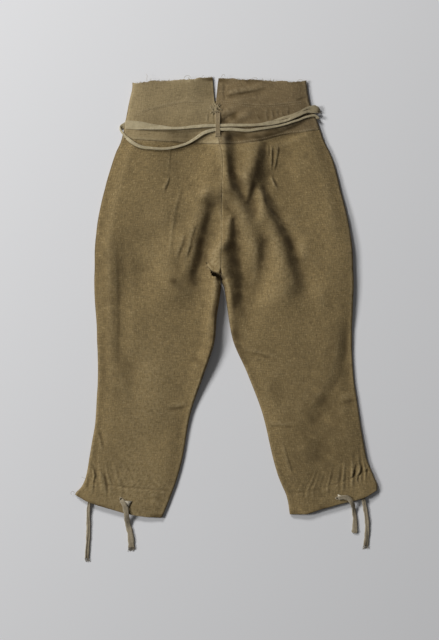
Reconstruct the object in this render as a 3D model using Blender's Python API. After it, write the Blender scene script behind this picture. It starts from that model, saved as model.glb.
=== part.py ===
"""Army trousers with a high split back, laid flat with the back side up.

Sizes in the tables are millimetres: x runs to the right from the middle of
the laid-out garment, down runs from the top of the waistband to the hems, and
z is the height over the surface it lies on.  The objects are in metres, +Z up,
with the origin on that surface under the middle of the garment.
"""
import math
from collections import namedtuple

import bmesh
import bpy
import numpy as np
from mathutils import Vector

# Cloth, seams and heights
MM = 0.001
CLOTH = 1.4
TAPE = 1.1
SEAM = 0.3
MIDDLE_X = -3.0
MIDDLE_DOWN = 469.0
EDGE_HEIGHT = 7.4
ROLL = 5.0
SHOULDER = 42.0
LOWEST_BACK = 4.6
FORK_DOWN = 432.0
FORK_LENGTH = 26.0

# Outline of the laid-out garment, one row for each level down from the waist:
# both outer edges, the line of the centre seam and inseams, and how far apart
# the left and right halves lie there
Outline = namedtuple("Outline", "down left_outer centre parting right_outer")
OUTLINE = [
    Outline(-4, -204, -26.0, 14.0, 166),
    Outline(15, -204, -26.8, 9.5, 168),
    Outline(51, -211, -27.2, 3.5, 174),
    Outline(60, -213, -27.0, 0.3, 177),
    Outline(89, -218, -24.0, 0.3, 189),
    Outline(136, -228, -19.2, 0.3, 205),
    Outline(160, -239, -13.0, 0.3, 217),
    Outline(185, -247, -11.0, 0.3, 226),
    Outline(236, -262, -12.9, 0.3, 239),
    Outline(288, -275, -13.0, 0.3, 253),
    Outline(330, -281, -13.0, 0.3, 261),
    Outline(377, -285, -14.0, 0.3, 267),
    Outline(432, -285, -15.3, 1.2, 268),
    Outline(452, -285, -11.4, 7.0, 268),
    Outline(479, -284, -11.2, 15, 267),
    Outline(505, -282, -11.4, 23, 266),
    Outline(556, -279, -9.0, 36.5, 264),
    Outline(633, -278, -4.5, 93, 268),
    Outline(722, -282, -3.0, 156, 280),
    Outline(812, -296, -0.5, 193, 296),
    Outline(850, -303, 0.0, 214, 311),
    Outline(872, -312, 1.0, 230, 319),
    Outline(890, -326, 1.5, 245, 319),
    Outline(940, -328, -4.0, 274, 319),
]

# Height of the back layer over the surface, at levels down from the waist
Height = namedtuple("Height", "down back")
HEIGHTS = [
    Height(-4, 10.2),
    Height(60, 10.8),
    Height(136, 13.0),
    Height(280, 16.0),
    Height(400, 15.5),
    Height(560, 12.6),
    Height(760, 11.0),
    Height(880, 10.2),
    Height(940, 9.6),
]

# How much higher than EDGE_HEIGHT each edge of the legs stands: the left thigh's inner
# edge stands up beside the burst seam
EdgeStands = namedtuple("EdgeStands", "down left_outer left_inner right_inner right_outer")
EDGE_STANDS = [
    EdgeStands(-4, 0, 0, 0, 0),
    EdgeStands(180, 0, 0, 0, 1),
    EdgeStands(300, 0, 0, 0, 4),
    EdgeStands(380, 0, 0, 0, 5.5),
    EdgeStands(432, 0, 6, 2, 5.5),
    EdgeStands(480, 0, 14.5, 3.5, 4.5),
    EdgeStands(560, 0, 17, 2.5, 0),
    EdgeStands(610, 0, 14, 1, -1),
    EdgeStands(650, 0, 8.5, 0.5, -1),
    EdgeStands(720, 0, 2.5, 0, -0.5),
    EdgeStands(800, 0, 0, 0, 1),
    EdgeStands(940, 0, 0, 0, 1),
]

# Level of each cut edge, from the side edge (0) across to the centre or inseam (1)
Edge = namedtuple("Edge", "across left right")
WAIST_TOP = [
    Edge(0.0, 13, 8.5),
    Edge(0.08, 12, 8),
    Edge(0.14, 11, 10.5),
    Edge(0.3, 8, 8.5),
    Edge(0.55, 7, 6.5),
    Edge(0.8, 3, 4),
    Edge(1.0, -1, 1),
]
WAIST_SEAM = [
    Edge(0.0, 130, 112),
    Edge(0.15, 133, 116),
    Edge(0.35, 136, 122),
    Edge(0.65, 140, 137),
    Edge(1.0, 143, 144),
]
FRONT_TOP = [
    Edge(0.0, 14, 16),
    Edge(0.5, 30, 31),
    Edge(1.0, 44, 44),
]
FRONT_SEAM = [
    Edge(0.0, 130, 112),
    Edge(0.5, 124, 118),
    Edge(1.0, 118, 118),
]
HEM = [
    Edge(0.0, 890, 880),
    Edge(0.15, 906, 897),
    Edge(0.4, 921, 909),
    Edge(0.65, 933, 922),
    Edge(0.85, 938, 932),
    Edge(1.0, 939, 932),
]

# The folds of the full seat: each line is a crest, a lip or a trough, with x, down and
# the rise over the plain back.  The cloth bends smoothly from line to line.
SEAT_FOLDS = {
    "beside the left fold": [
        (-98, 160, -9), (-106, 224, -7), (-134, 300, 0), (-166, 377, -3), (-185, 425, -7), (-209, 501, 0),
    ],
    "crest of the left fold": [(-62, 228, 1), (-89, 302, 3), (-110, 355, 4.5), (-132, 411, 4.5), (-166, 488, 0.5)],
    "lip of the left fold": [(-49, 268, 4), (-62, 320, 4), (-78, 390, 3)],
    "trough of the left fold": [(-40, 276, -4), (-53, 340, -7), (-66, 400, -7), (-81, 452, 0)],
    "sunk strip": [(-31, 290, -6), (-40, 345, -8), (-52, 400, -9), (-66, 458, -2)],
    "arch over the strip": [(-49, 247, 9), (-22, 241, 9.5), (0, 256, 10)],
    "under the arch": [(-30, 266, 1), (-4, 274, 0)],
    "lip of the crevice": [(4, 300, 4), (3, 340, 8), (-8, 368, 10), (4, 415, 11), (8, 458, 9), (11, 505, 2)],
    "crevice": [(14, 315, -1), (19, 355, -6), (24, 410, -5), (36, 462, -7), (46, 510, -5), (49, 547, -1)],
    "crest right of the crevice": [(14, 255, 10.5), (28, 320, 6), (40, 388, -2), (60, 449, -8), (76, 500, -2)],
    "hollow": [(81, 345, 3), (79, 395, -5), (68, 441, -8)],
    "right of the hollow": [(98, 350, 2), (90, 420, -4), (98, 480, 2)],
    "bulge left of the seam": [(-47, 160, -6), (-45, 219, 1)],
    "bulge at the seam": [(-26, 138, 2), (-19, 190, 5), (-13, 224, 9)],
    "lip of the first valley": [(-5, 134, 4), (-2, 185, 10), (12, 238, 10.5)],
    "first valley": [(8, 134, -1), (13, 190, 0.5), (30, 250, 1)],
    "ridge between the valleys": [(36, 134, 3), (37, 190, 10), (34, 234, 3)],
    "lip of the second valley": [(66, 150, 6), (54, 198, 9.5), (43, 255, 2)],
    "second valley": [(81, 140, -1), (78, 177, -3), (64, 219, 0), (48, 266, -4)],
    "right of the second valley": [(92, 150, -3), (81, 207, -6)],
    "crest of the right fold": [(64, 250, 1), (76, 310, 8.5), (100, 360, 4), (113, 400, 7.5), (121, 458, 8)],
    "lip of the right fold": [(83, 281, 4), (110, 325, 2), (132, 388, 2), (145, 460, 3)],
    "trough of the right fold": [(78, 239, -8), (93, 279, -5), (122, 328, -7), (146, 388, -9), (160, 445, -5)],
    "beside the right fold": [(92, 234, -9), (113, 283, -10), (149, 341, -7), (170, 410, -7), (181, 475, -1)],
    "right of the seat": [
        (113, 150, -5), (118, 210, -10), (141, 271, -9), (173, 347, -3), (192, 424, -3), (200, 509, 0),
    ],
    "far right of the seat": [(153, 138, 0), (160, 200, -3.5), (183, 266, -3)],
}
Area = namedtuple("Area", "left right top bottom")
SEAT = Area(-247.0, 226.0, 122.0, 582.0)
REST_STEP = 36
REST_DOWN = (118, 590)
REST_ACROSS = (-226, 226)
REST_SIDE = -208
REST_SIDE_DOWN = (155, 209, 262)
FOLD_SPACING = 12.0
FOLD_SCALE = 100.0
CLOTH_GIVE = 0.002
NO_GAP = 1e-9
AREA_FADE = 26.0

# The largest folds of the legs: a soft ridge (rise above 0) or trough along a path
# through three points
Fold = namedtuple("Fold", "x0 down0 x1 down1 x2 down2 half_width rise")
FOLD_POINTS = 25
FOLD_FADE = 3.2
FOLDS = [
    Fold(-240, 480, -237, 515, -232, 560, 11, -3.0),
    Fold(-150, 440, -158, 590, -172, 760, 34, 2.6),
    Fold(150, 470, 170, 610, 200, 790, 34, 2.4),
    Fold(243, 580, 238, 610, 226, 645, 12, -2.6),
    Fold(172, 708, 205, 700, 238, 686, 9, -2.2),
    Fold(-66, 606, -84, 612, -104, 618, 9, -2.0),
    Fold(34, 584, 52, 588, 72, 592, 9, -2.0),
    Fold(-282, 815, -262, 865, -256, 912, 10, -3.0),
    Fold(270, 826, 274, 850, 284, 880, 10, -2.8),
]

# Burst seat seam just above the fork, on the left back
RIP_DOWN = 421.5
RIP_HALF_LENGTH = 5.0
RIP_WIDTH = 17.0

# Rows of the wall, with the spacing between them in each stretch of the leg
Spacing = namedtuple("Spacing", "start end step")
BACK_ROWS = [
    Spacing(136, 412, 15),
    Spacing(412, 434, 3.6),
    Spacing(434, 560, 18),
    Spacing(560, 840, 34),
    Spacing(840, 936, 16),
]
FRONT_ROWS = [
    Spacing(120, 402, 47),
    Spacing(402, 440, 9.5),
    Spacing(440, 840, 57),
    Spacing(840, 936, 32),
]
BAND_ROWS = [
    Spacing(0, 92, 23),
    Spacing(92, 138, 11.5),
]
FRONT_BAND_ROWS = [
    Spacing(0, 116, 14),
]
LEG_COLUMNS = 26
BAND_COLUMNS = 13
FRONT_COLUMNS = 6
FRONT_BAND_COLUMNS = 9
ROLL_STEPS = 3
COLUMN_SHIFT = 0.06
SHARP_ANGLE = 50.0
USUAL_WIDTH = 200.0
FOLLOW_EDGE = 130.0

# Belt loop over the split, and the two waist tapes that run through it
LOOP_X = -21.5
LOOP_WIDTH = 10.0
LOOP_ENDS = (77.0, 127.0)
LOOP_CROWN = (95.0, 122.0)
LOOP_ROWS = 12
LOOP_SEWN_TOP = 5.0
LOOP_SEWN_END = 1.0
TAPE_GAP = 0.7
TAPE_LIFT = 1.6
TAPE_FLAT_WIDTH = 18.0
TAPE_CLEAR = 15.0
TAPE_SLOPE = 12.0
TAPE_STEP = 9.0
TAPE_TURNING = 8.0
ROWS_BEFORE_TURN = 3
LINE_POINTS = 12
TapeRow = namedtuple("TapeRow", "x down width")
TapeTurn = namedtuple("TapeTurn", "x down z width")
LEFT_TAPE_OVER = [
    TapeRow(-211, 102.0, 19.0),
    TapeRow(-186, 104.0, 15.0),
    TapeRow(-158, 107.0, 11.0),
    TapeRow(-117, 109.6, 7.0),
    TapeRow(-80, 107.6, 7.2),
    TapeRow(-49, 104.6, 7.8),
    TapeRow(-21, 104.0, 6.8),
    TapeRow(8, 103.2, 6.8),
    TapeRow(42, 103.4, 6.8),
    TapeRow(68, 102.2, 6.8),
    TapeRow(92, 98.4, 9.6),
    TapeRow(121, 90.6, 12.2),
    TapeRow(142, 83.2, 11.2),
    TapeRow(160, 74.6, 12.4),
    TapeRow(173, 69.6, 15.0),
]
LEFT_TAPE_ROUND = [
    TapeTurn(184, 68.2, 10.6, 17.0),
    TapeTurn(193, 67.4, 9.0, 17.0),
    TapeTurn(197, 67.2, 5.0, 17.0),
    TapeTurn(193, 67.4, 1.7, 17.0),
    TapeTurn(184, 68.0, 0.05, 17.5),
    TapeTurn(168, 68.0, 0.05, 18.0),
    TapeTurn(130, 69.0, 0.05, 18.0),
    TapeTurn(90, 72.0, 0.05, 18.0),
    TapeTurn(52, 76.0, 0.05, 18.0),
]
RIGHT_TAPE_OVER = [
    TapeRow(185, 84.0, 5.4),
    TapeRow(175, 84.0, 5.4),
    TapeRow(160, 88.6, 5.4),
    TapeRow(142, 94.8, 5.2),
    TapeRow(121, 101.6, 5.2),
    TapeRow(92, 107.8, 5.4),
    TapeRow(64, 111.8, 6.0),
    TapeRow(42, 114.0, 6.4),
    TapeRow(8, 112.2, 6.8),
    TapeRow(-21, 112.4, 6.8),
    TapeRow(-36, 115.0, 7.6),
    TapeRow(-53, 121.0, 8.2),
    TapeRow(-70, 132.0, 8.6),
    TapeRow(-86, 142.0, 8.6),
    TapeRow(-111, 149.0, 8.6),
    TapeRow(-140, 153.6, 8.6),
    TapeRow(-170, 152.6, 8.6),
    TapeRow(-196, 143.6, 8.6),
    TapeRow(-215, 129.6, 8.6),
]
RIGHT_TAPE_ROUND = [
    TapeTurn(-226, 118.5, 9.4, 9.0),
    TapeTurn(-231, 110.5, 6.0, 11.0),
    TapeTurn(-231, 104.0, 2.2, 14.0),
    TapeTurn(-225, 101.0, 0.05, 16.0),
    TapeTurn(-212, 100.0, 0.05, 18.0),
    TapeTurn(-170, 99.0, 0.05, 18.0),
    TapeTurn(-130, 97.0, 0.05, 18.0),
    TapeTurn(-92, 95.0, 0.05, 18.0),
]

# Shield behind the fly, a plain strip inside the front
SHIELD_X = (-42.0, 4.0)
SHIELD_DOWN = (52.0, 246.0)

# Drawstrings of the hems: the free ends that show, one row for each bend
TIE_RADIUS = 2.5
TIE_STEP = 6.0
Bend = namedtuple("Bend", "x down z")
TIES = {
    "tie_left_outer": [
        Bend(-293, 888, 4.3),
        Bend(-295, 903, 4.3),
        Bend(-297, 917, 4.2),
        Bend(-298, 935, 2.7),
        Bend(-298, 967, 2.6),
        Bend(-299, 994, 2.6),
        Bend(-301, 1026, 2.6),
    ],
    "tie_left_inner": [
        Bend(-226.6, 900.6, 8.8),
        Bend(-224.4, 904.4, 12.0),
        Bend(-220, 912, 13.4),
        Bend(-217, 923, 13.2),
        Bend(-216, 933, 12.6),
        Bend(-215, 943, 8.0),
        Bend(-213, 956, 2.9),
        Bend(-208, 975, 2.6),
        Bend(-206, 1003, 2.6),
    ],
    "tie_right_inner": [
        Bend(235, 896.8, 8.8),
        Bend(239, 896, 12.0),
        Bend(247, 895, 13.2),
        Bend(257, 898, 13.0),
        Bend(263, 906, 12.4),
        Bend(267, 915, 8.0),
        Bend(269, 928, 2.9),
        Bend(271, 944, 2.6),
        Bend(270, 973, 2.6),
    ],
    "tie_right_outer": [
        Bend(284, 880, 4.3),
        Bend(287, 893, 4.3),
        Bend(290, 907, 4.2),
        Bend(293, 922, 2.7),
        Bend(296, 940, 2.6),
        Bend(297, 963, 2.6),
        Bend(294, 999, 2.6),
    ],
}
EYELET_LENGTH = 18.0
EYELET_WIDTH = 8.6
EYELET_DEPTH = 5.0
EYELET_SIDES = 16
Eyelet = namedtuple("Eyelet", "panel x down turn")
EYELETS = [
    Eyelet("back_leg_left", -225.5, 902.5, -62.0),
    Eyelet("back_leg_right", 236.5, 896.5, 8.0),
]

# Colours of the cloth and of the tapes
KHAKI = (0.171, 0.122, 0.060)
KHAKI_BAND = (0.190, 0.140, 0.074)
TAPE_BEIGE = (0.352, 0.287, 0.181)
TIE_BEIGE = (0.300, 0.250, 0.170)
CLOTH_ROUGHNESS = 0.92


def ease(value):
    """From 0 to 1 with a soft start and a soft end."""
    value = np.clip(value, 0.0, 1.0)
    return value * value * (3.0 - 2.0 * value)


def smooth_line(stations, values):
    """A line through the values that never swings past them."""
    stations = np.asarray(stations, float)
    values = np.asarray(values, float)
    rises = np.diff(values) / np.diff(stations)
    slopes = np.zeros_like(values)
    slopes[0], slopes[-1] = rises[0], rises[-1]
    for k in range(1, len(values) - 1):
        if rises[k - 1] * rises[k] > 0.0:
            slopes[k] = 2.0 / (1.0 / rises[k - 1] + 1.0 / rises[k])

    def at(position):
        position = np.clip(np.asarray(position, float), stations[0], stations[-1])
        k = np.clip(np.searchsorted(stations, position) - 1, 0, len(stations) - 2)
        length = stations[k + 1] - stations[k]
        t = (position - stations[k]) / length
        return (
            values[k] * (1 + 2 * t) * (1 - t) ** 2
            + slopes[k] * length * t * (1 - t) ** 2
            + values[k + 1] * t * t * (3 - 2 * t)
            - slopes[k + 1] * length * t * t * (1 - t)
        )

    return at


def column(rows, name):
    return [getattr(row, name) for row in rows]


def outline_of(name):
    return smooth_line(column(OUTLINE, "down"), column(OUTLINE, name))


SIDES = ("left", "right")
CENTRE_X = outline_of("centre")
PARTING = outline_of("parting")
OUTER_X = {side: outline_of(side + "_outer") for side in SIDES}
INNER_X = {
    "left": lambda down: CENTRE_X(down) - PARTING(down) / 2,
    "right": lambda down: CENTRE_X(down) + PARTING(down) / 2,
}
BACK_HEIGHT = smooth_line(column(HEIGHTS, "down"), column(HEIGHTS, "back"))
STANDING = {
    name: smooth_line(column(EDGE_STANDS, "down"), column(EDGE_STANDS, name))
    for name in ("left_outer", "left_inner", "right_inner", "right_outer")
}


def edge_line(rows, side):
    return smooth_line(column(rows, "across"), column(rows, side))


def through(rows, step):
    """Points every step along a smooth line through the rows."""
    values = np.array([tuple(row) for row in rows], float)
    ends = [2 * values[0] - values[1], 2 * values[-1] - values[-2]]
    values = np.vstack([ends[:1], values, ends[1:]])
    line = []
    for a, b, c, d in zip(values, values[1:], values[2:], values[3:]):
        for t in np.linspace(0.0, 1.0, LINE_POINTS, endpoint=False):
            bend = 2 * a - 5 * b + 4 * c - d
            line.append(0.5 * (2 * b + (c - a) * t + bend * t * t + (3 * b - a - 3 * c + d) * t ** 3))
    line = np.array(line + [values[-2]])
    lengths = np.r_[0.0, np.cumsum(np.linalg.norm(np.diff(line[:, :3], axis=0), axis=1))]
    count = max(2, round(lengths[-1] / step))
    at = np.linspace(0.0, lengths[-1], count + 1)
    return np.stack([np.interp(at, lengths, line[:, k]) for k in range(line.shape[1])], axis=-1)


def bend_resistance(gap):
    return gap ** 2 * np.log(gap + NO_GAP)


def bent_cloth():
    """The rise of cloth that bends as little as it can between the lines of the seat."""
    rest = [(x, down, 0) for down in range(*REST_DOWN, REST_STEP) for x in (SEAT.left, SEAT.right)]
    rest += [(x, down, 0) for x in range(*REST_ACROSS, REST_STEP) for down in (SEAT.top, SEAT.bottom)]
    rest += [(REST_SIDE, down, 0) for down in REST_SIDE_DOWN]
    rows = np.vstack([through(line, FOLD_SPACING) for line in SEAT_FOLDS.values()] + [np.array(rest, float)])
    known, heights = rows[:, :2] / FOLD_SCALE, rows[:, 2]
    count = len(rows)
    gaps = np.linalg.norm(known[:, None] - known[None], axis=2)
    plane = np.c_[np.ones(count), known]
    system = np.zeros((count + 3, count + 3))
    system[:count, :count] = bend_resistance(gaps) + CLOTH_GIVE * np.eye(count)
    system[:count, count:] = plane
    system[count:, :count] = plane.T
    pulls = np.linalg.solve(system, np.r_[heights, 0.0, 0.0, 0.0])

    def rise(x, down):
        at = np.stack([x, down], axis=-1) / FOLD_SCALE
        gap = np.linalg.norm(at[..., None, :] - known, axis=-1)
        return bend_resistance(gap) @ pulls[:count] + pulls[count] + at @ pulls[count + 1:]

    return rise


SEAT_RISE = bent_cloth()


def fold_relief(x, down):
    """Rise of the back over its plain height, from every fold together."""
    from_side = ease((x - SEAT.left) / AREA_FADE) * ease((SEAT.right - x) / AREA_FADE)
    from_end = ease((down - SEAT.top) / AREA_FADE) * ease((SEAT.bottom - down) / AREA_FADE)
    total = SEAT_RISE(x, down) * from_side * from_end
    t = np.linspace(0.0, 1.0, FOLD_POINTS)
    for fold in FOLDS:
        bend_x = 2 * fold.x1 - (fold.x0 + fold.x2) / 2
        bend_down = 2 * fold.down1 - (fold.down0 + fold.down2) / 2
        path_x = (1 - t) ** 2 * fold.x0 + 2 * t * (1 - t) * bend_x + t * t * fold.x2
        path_down = (1 - t) ** 2 * fold.down0 + 2 * t * (1 - t) * bend_down + t * t * fold.down2
        away = np.hypot(x[..., None] - path_x, down[..., None] - path_down)
        fade = ease(FOLD_FADE * np.minimum(t, 1 - t))[away.argmin(axis=-1)]
        total += fold.rise * fade * np.exp(-((away.min(axis=-1) / fold.half_width) ** 2))
    return total


def fork(down):
    """0 where the two halves are one layer, 1 where each leg is a closed tube."""
    return ease((down - FORK_DOWN + FORK_LENGTH) / FORK_LENGTH)


def back_surface(side, x, down):
    """Height of the back's outer face, apart from its rolled edges."""
    from_outer = np.abs(x - OUTER_X[side](down))
    from_inner = np.abs(x - INNER_X[side](down)) + (1.0 - fork(down)) * SHOULDER
    outer = EDGE_HEIGHT + STANDING[side + "_outer"](down)
    inner = EDGE_HEIGHT + STANDING[side + "_inner"](down)
    plain = BACK_HEIGHT(down)
    height = plain + (outer - plain) * (1.0 - ease(from_outer / SHOULDER))
    height = height + (inner - plain) * (1.0 - ease(from_inner / SHOULDER))
    relief = fold_relief(x, down) * ease(np.minimum(from_outer, from_inner) / (3 * ROLL))
    return LOWEST_BACK + np.logaddexp(0.0, height + relief - LOWEST_BACK)


def over_tape(x, down, rows):
    """1 over a tape that runs under the front, 0 clear of it."""
    order = sorted(rows, key=lambda row: row.x)
    middle = np.interp(x, column(order, "x"), column(order, "down"))
    reach = TAPE_FLAT_WIDTH / 2 + TAPE_CLEAR
    across = ease(1.0 + (reach - np.abs(down - middle)) / TAPE_SLOPE)
    start = ease(1.0 + (x - order[0].x + TAPE_CLEAR) / TAPE_SLOPE)
    end = ease(1.0 + (order[-1].x + TAPE_CLEAR - x) / TAPE_SLOPE)
    return across * start * end


def front_surface(side, x, down):
    """Height of the front's outer face: on the surface, or over a tape's end."""
    left = over_tape(x, down, RIGHT_TAPE_ROUND[3:])
    right = over_tape(x, down, LEFT_TAPE_ROUND[4:])
    return TAPE_LIFT * np.maximum(left, right)


# A column of a panel: its place in the side roll, across the width and in the inner
# roll, and the height that the two rolls leave it
Column = namedtuple("Column", "outer share inner outer_height inner_height")


def panel_columns(count, inner_roll):
    angles = np.linspace(0.0, math.pi / 2, ROLL_STEPS + 1)
    columns = [Column(1 - math.cos(a), 0, 0, math.sin(a), 1) for a in angles]
    for k in range(1, count):
        share = k / count + COLUMN_SHIFT * math.sin(math.pi * k / count)
        columns.append(Column(1, share, 0, 1, 1))
    if inner_roll:
        columns += [Column(1, 1, math.cos(a), 1, math.sin(a)) for a in angles[::-1]]
    else:
        columns += [Column(1, 1, 0, 1, 1), Column(1, 1, 1, 1, 1)]
    return {name: np.array(column(columns, name), float) for name in Column._fields}


def row_levels(spacings):
    levels = [spacings[0].start]
    for stretch in spacings:
        count = max(1, round((stretch.end - stretch.start) / stretch.step))
        length = stretch.end - stretch.start
        levels += [stretch.start + length * (k + 1) / count for k in range(count)]
    return np.array(levels, float)


def rip(down):
    return RIP_WIDTH * ease(1.0 - np.abs(down - RIP_DOWN) / RIP_HALF_LENGTH)


def panel_points(side, surface, columns, levels, top, bottom, burst=False):
    """Points of a panel's outer face, and the way out of the cloth at each."""
    width = USUAL_WIDTH - 2 * ROLL
    across = (columns["outer"] + columns["inner"]) * ROLL + columns["share"] * width
    across = across / USUAL_WIDTH
    follow = min(FOLLOW_EDGE, levels[-1] - levels[0])
    near_top = ease(1.0 - (levels - levels[0]) / follow)[:, None]
    near_bottom = ease(1.0 - (levels[-1] - levels) / follow)[:, None]
    down = levels[:, None] + near_top * (top(across) - levels[0])
    down = down + near_bottom * (bottom(across) - levels[-1])
    outer = OUTER_X[side](down)
    inner = INNER_X[side](down) - (rip(down) if burst else 0.0)
    inward = 1.0 if side == "left" else -1.0
    width = np.abs(inner - outer) - 2 * ROLL
    reach = (columns["outer"] + columns["inner"]) * ROLL + columns["share"] * width
    x = outer + inward * reach
    back = surface is back_surface
    seam_height = EDGE_HEIGHT / 2 + (SEAM / 2 if back else -SEAM / 2)
    closed = fork(down)
    share = columns["outer_height"] * (1.0 - closed * (1.0 - columns["inner_height"]))
    z = seam_height + (surface(side, x, down) - seam_height) * share
    points = np.stack([x, down, z], axis=-1)
    normals = outward_normals(points, 1.0 if back else -1.0)
    upright = np.array([0.0, 0.0, 1.0 if back else -1.0])
    normals[:, 0] = (-inward, 0.0, 0.0)
    normals[:, -1, 1] = 0.0
    at_fork = closed[:, -1:]
    normals[:, -1] = at_fork * np.array([inward, 0.0, 0.0]) + (1.0 - at_fork) * upright
    for row in (0, -1):
        normals[row, :, 1] = 0.0
    return points, normals / np.linalg.norm(normals, axis=-1, keepdims=True)


def outward_normals(points, facing):
    """Unit normals of a grid of points; facing is the sign of z in its middle."""
    normals = np.cross(np.gradient(points, axis=0), np.gradient(points, axis=1))
    middle = normals[len(points) // 2, points.shape[1] // 2]
    if middle[2] * facing < 0.0:
        normals = -normals
    return normals / np.linalg.norm(normals, axis=-1, keepdims=True)


def place(point):
    """A point of the tables in the object's own frame, in metres."""
    x, down, z = (float(value) for value in point)
    return Vector(((x - MIDDLE_X) * MM, (MIDDLE_DOWN - down) * MM, z * MM))


def cloth_wall(name, points, normals, thickness, material, group):
    """A closed wall: the outer face lofted from row to row, the inner face below it,
    and the four cut edges between them."""
    rows, columns = points.shape[:2]
    inner = points - normals * thickness
    mesh = bmesh.new()
    faces = [[[mesh.verts.new(place(p)) for p in row] for row in grid] for grid in (points, inner)]
    for r in range(rows - 1):
        for c in range(columns - 1):
            for grid, turn in zip(faces, (1, -1)):
                corners = [grid[r][c], grid[r][c + 1], grid[r + 1][c + 1], grid[r + 1][c]]
                mesh.faces.new(corners[::turn])
    around = [(0, c) for c in range(columns)]
    around += [(r, columns - 1) for r in range(1, rows)]
    around += [(rows - 1, c) for c in range(columns - 2, -1, -1)]
    around += [(r, 0) for r in range(rows - 2, 0, -1)]
    for (r0, c0), (r1, c1) in zip(around, around[1:] + around[:1]):
        mesh.faces.new([faces[0][r0][c0], faces[1][r0][c0], faces[1][r1][c1], faces[0][r1][c1]])
    bmesh.ops.recalc_face_normals(mesh, faces=mesh.faces)
    data = bpy.data.meshes.new(name)
    mesh.to_mesh(data)
    mesh.free()
    data.shade_smooth()
    data.set_sharp_from_angle(angle=math.radians(SHARP_ANGLE))
    return add_object(name, data, material, group)


def add_object(name, data, material, group):
    piece = bpy.data.objects.new(name, data)
    data.materials.append(material)
    group.objects.link(piece)
    return piece


def finish(name, colour, roughness=CLOTH_ROUGHNESS):
    material = bpy.data.materials.new(name)
    material.use_nodes = True
    shader = material.node_tree.nodes["Principled BSDF"]
    shader.inputs["Base Color"].default_value = (*colour, 1.0)
    shader.inputs["Roughness"].default_value = roughness
    shader.inputs["Metallic"].default_value = 0.0
    return material


def make_legs(group):
    back_columns = panel_columns(LEG_COLUMNS, inner_roll=True)
    front_columns = panel_columns(FRONT_COLUMNS, inner_roll=True)
    for side in SIDES:
        hem = edge_line(HEM, side)
        seam = edge_line(WAIST_SEAM, side)
        points, normals = panel_points(
            side, back_surface, back_columns, row_levels(BACK_ROWS),
            lambda across: seam(across) + SEAM, hem, burst=side == "left",
        )
        name = "back_leg_" + side
        cloth_wall(name, points, normals, CLOTH, finish(name, KHAKI), group)
        front_seam = edge_line(FRONT_SEAM, side)
        points, normals = panel_points(
            side, front_surface, front_columns, row_levels(FRONT_ROWS),
            lambda across: front_seam(across) + SEAM, hem,
        )
        name = "front_leg_" + side
        cloth_wall(name, points, normals, CLOTH, finish(name, KHAKI), group)


def make_waistband(group):
    back_columns = panel_columns(BAND_COLUMNS, inner_roll=False)
    front_columns = panel_columns(FRONT_BAND_COLUMNS, inner_roll=False)
    for side in SIDES:
        points, normals = panel_points(
            side, back_surface, back_columns, row_levels(BAND_ROWS),
            edge_line(WAIST_TOP, side), edge_line(WAIST_SEAM, side),
        )
        name = "waistband_back_" + side
        cloth_wall(name, points, normals, CLOTH, finish(name, KHAKI_BAND), group)
        points, normals = panel_points(
            side, front_surface, front_columns, row_levels(FRONT_BAND_ROWS),
            edge_line(FRONT_TOP, side), edge_line(FRONT_SEAM, side),
        )
        name = "waistband_front_" + side
        cloth_wall(name, points, normals, CLOTH, finish(name, KHAKI_BAND), group)


def top_of_back(x, down):
    side = "left" if x < INNER_X["left"](down) else "right"
    return float(back_surface(side, np.array([x]), np.array([down]))[0])


def strip_points(line, across):
    """Both long edges of a strip, from its middle line, widths and ways across."""
    half = line[:, 3:4] / 2 * across
    return np.stack([line[:, :3] - half, line[:, :3] + half], axis=1)


def make_tape(name, over, turned, group):
    """A woven tape that lies on the back, turns round the side and ends under the front."""
    route = []
    for row in over:
        ends = [row.down - row.width / 2, row.down, row.down + row.width / 2]
        height = max(top_of_back(row.x, down) for down in ends)
        route.append((row.x, row.down, height + TAPE_GAP + TAPE, row.width))
    route += [tuple(row) for row in turned]
    line = through(route, TAPE_STEP)
    heading = np.gradient(line[:, :2], axis=0)
    heading /= np.maximum(np.linalg.norm(heading, axis=1, keepdims=True), 0.01)
    way = 1.0 if over[-1].x > over[0].x else -1.0
    across = np.stack([-heading[:, 1], heading[:, 0], np.zeros(len(line))], axis=-1) * way
    turning = ease((np.abs(line[:, 0]) - np.abs(over[-1].x)) / TAPE_TURNING + 0.5)
    beyond = np.arange(len(line)) >= np.abs(line[:, 0]).argmax() - ROWS_BEFORE_TURN
    turning = np.where(beyond, 1.0, turning)[:, None]
    across = across * (1.0 - turning) + np.array([0.0, 1.0, 0.0]) * turning
    across /= np.linalg.norm(across, axis=1, keepdims=True)
    points = strip_points(line, across)
    normals = np.cross(np.gradient(points, axis=0), (points[:, 1] - points[:, 0])[:, None])
    normals *= np.sign(normals[0, 0, 2])
    normals /= np.linalg.norm(normals, axis=-1, keepdims=True)
    cloth_wall(name, points, normals, TAPE, finish(name, TAPE_BEIGE), group)


def make_belt_loop(group):
    """A strip sewn down at both ends over the split, with the tapes under its crown."""
    down = np.linspace(*LOOP_ENDS, LOOP_ROWS)
    top = LOOP_ENDS[0] + LOOP_SEWN_TOP
    end = LOOP_ENDS[1] - LOOP_SEWN_END
    rise = ease((down - top) / (LOOP_CROWN[0] - top)) * ease((end - down) / (end - LOOP_CROWN[1]))
    height = np.array([top_of_back(LOOP_X, level) for level in down])
    z = height + TAPE_GAP + CLOTH + rise * (TAPE + TAPE_GAP)
    line = np.stack([np.full_like(down, LOOP_X), down, z, np.full_like(down, LOOP_WIDTH)], axis=-1)
    points = strip_points(line, np.array([1.0, 0.0, 0.0]))
    normals = outward_normals(points, 1.0)
    cloth_wall("belt_loop", points, normals, CLOTH, finish("belt_loop", KHAKI_BAND), group)


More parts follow.
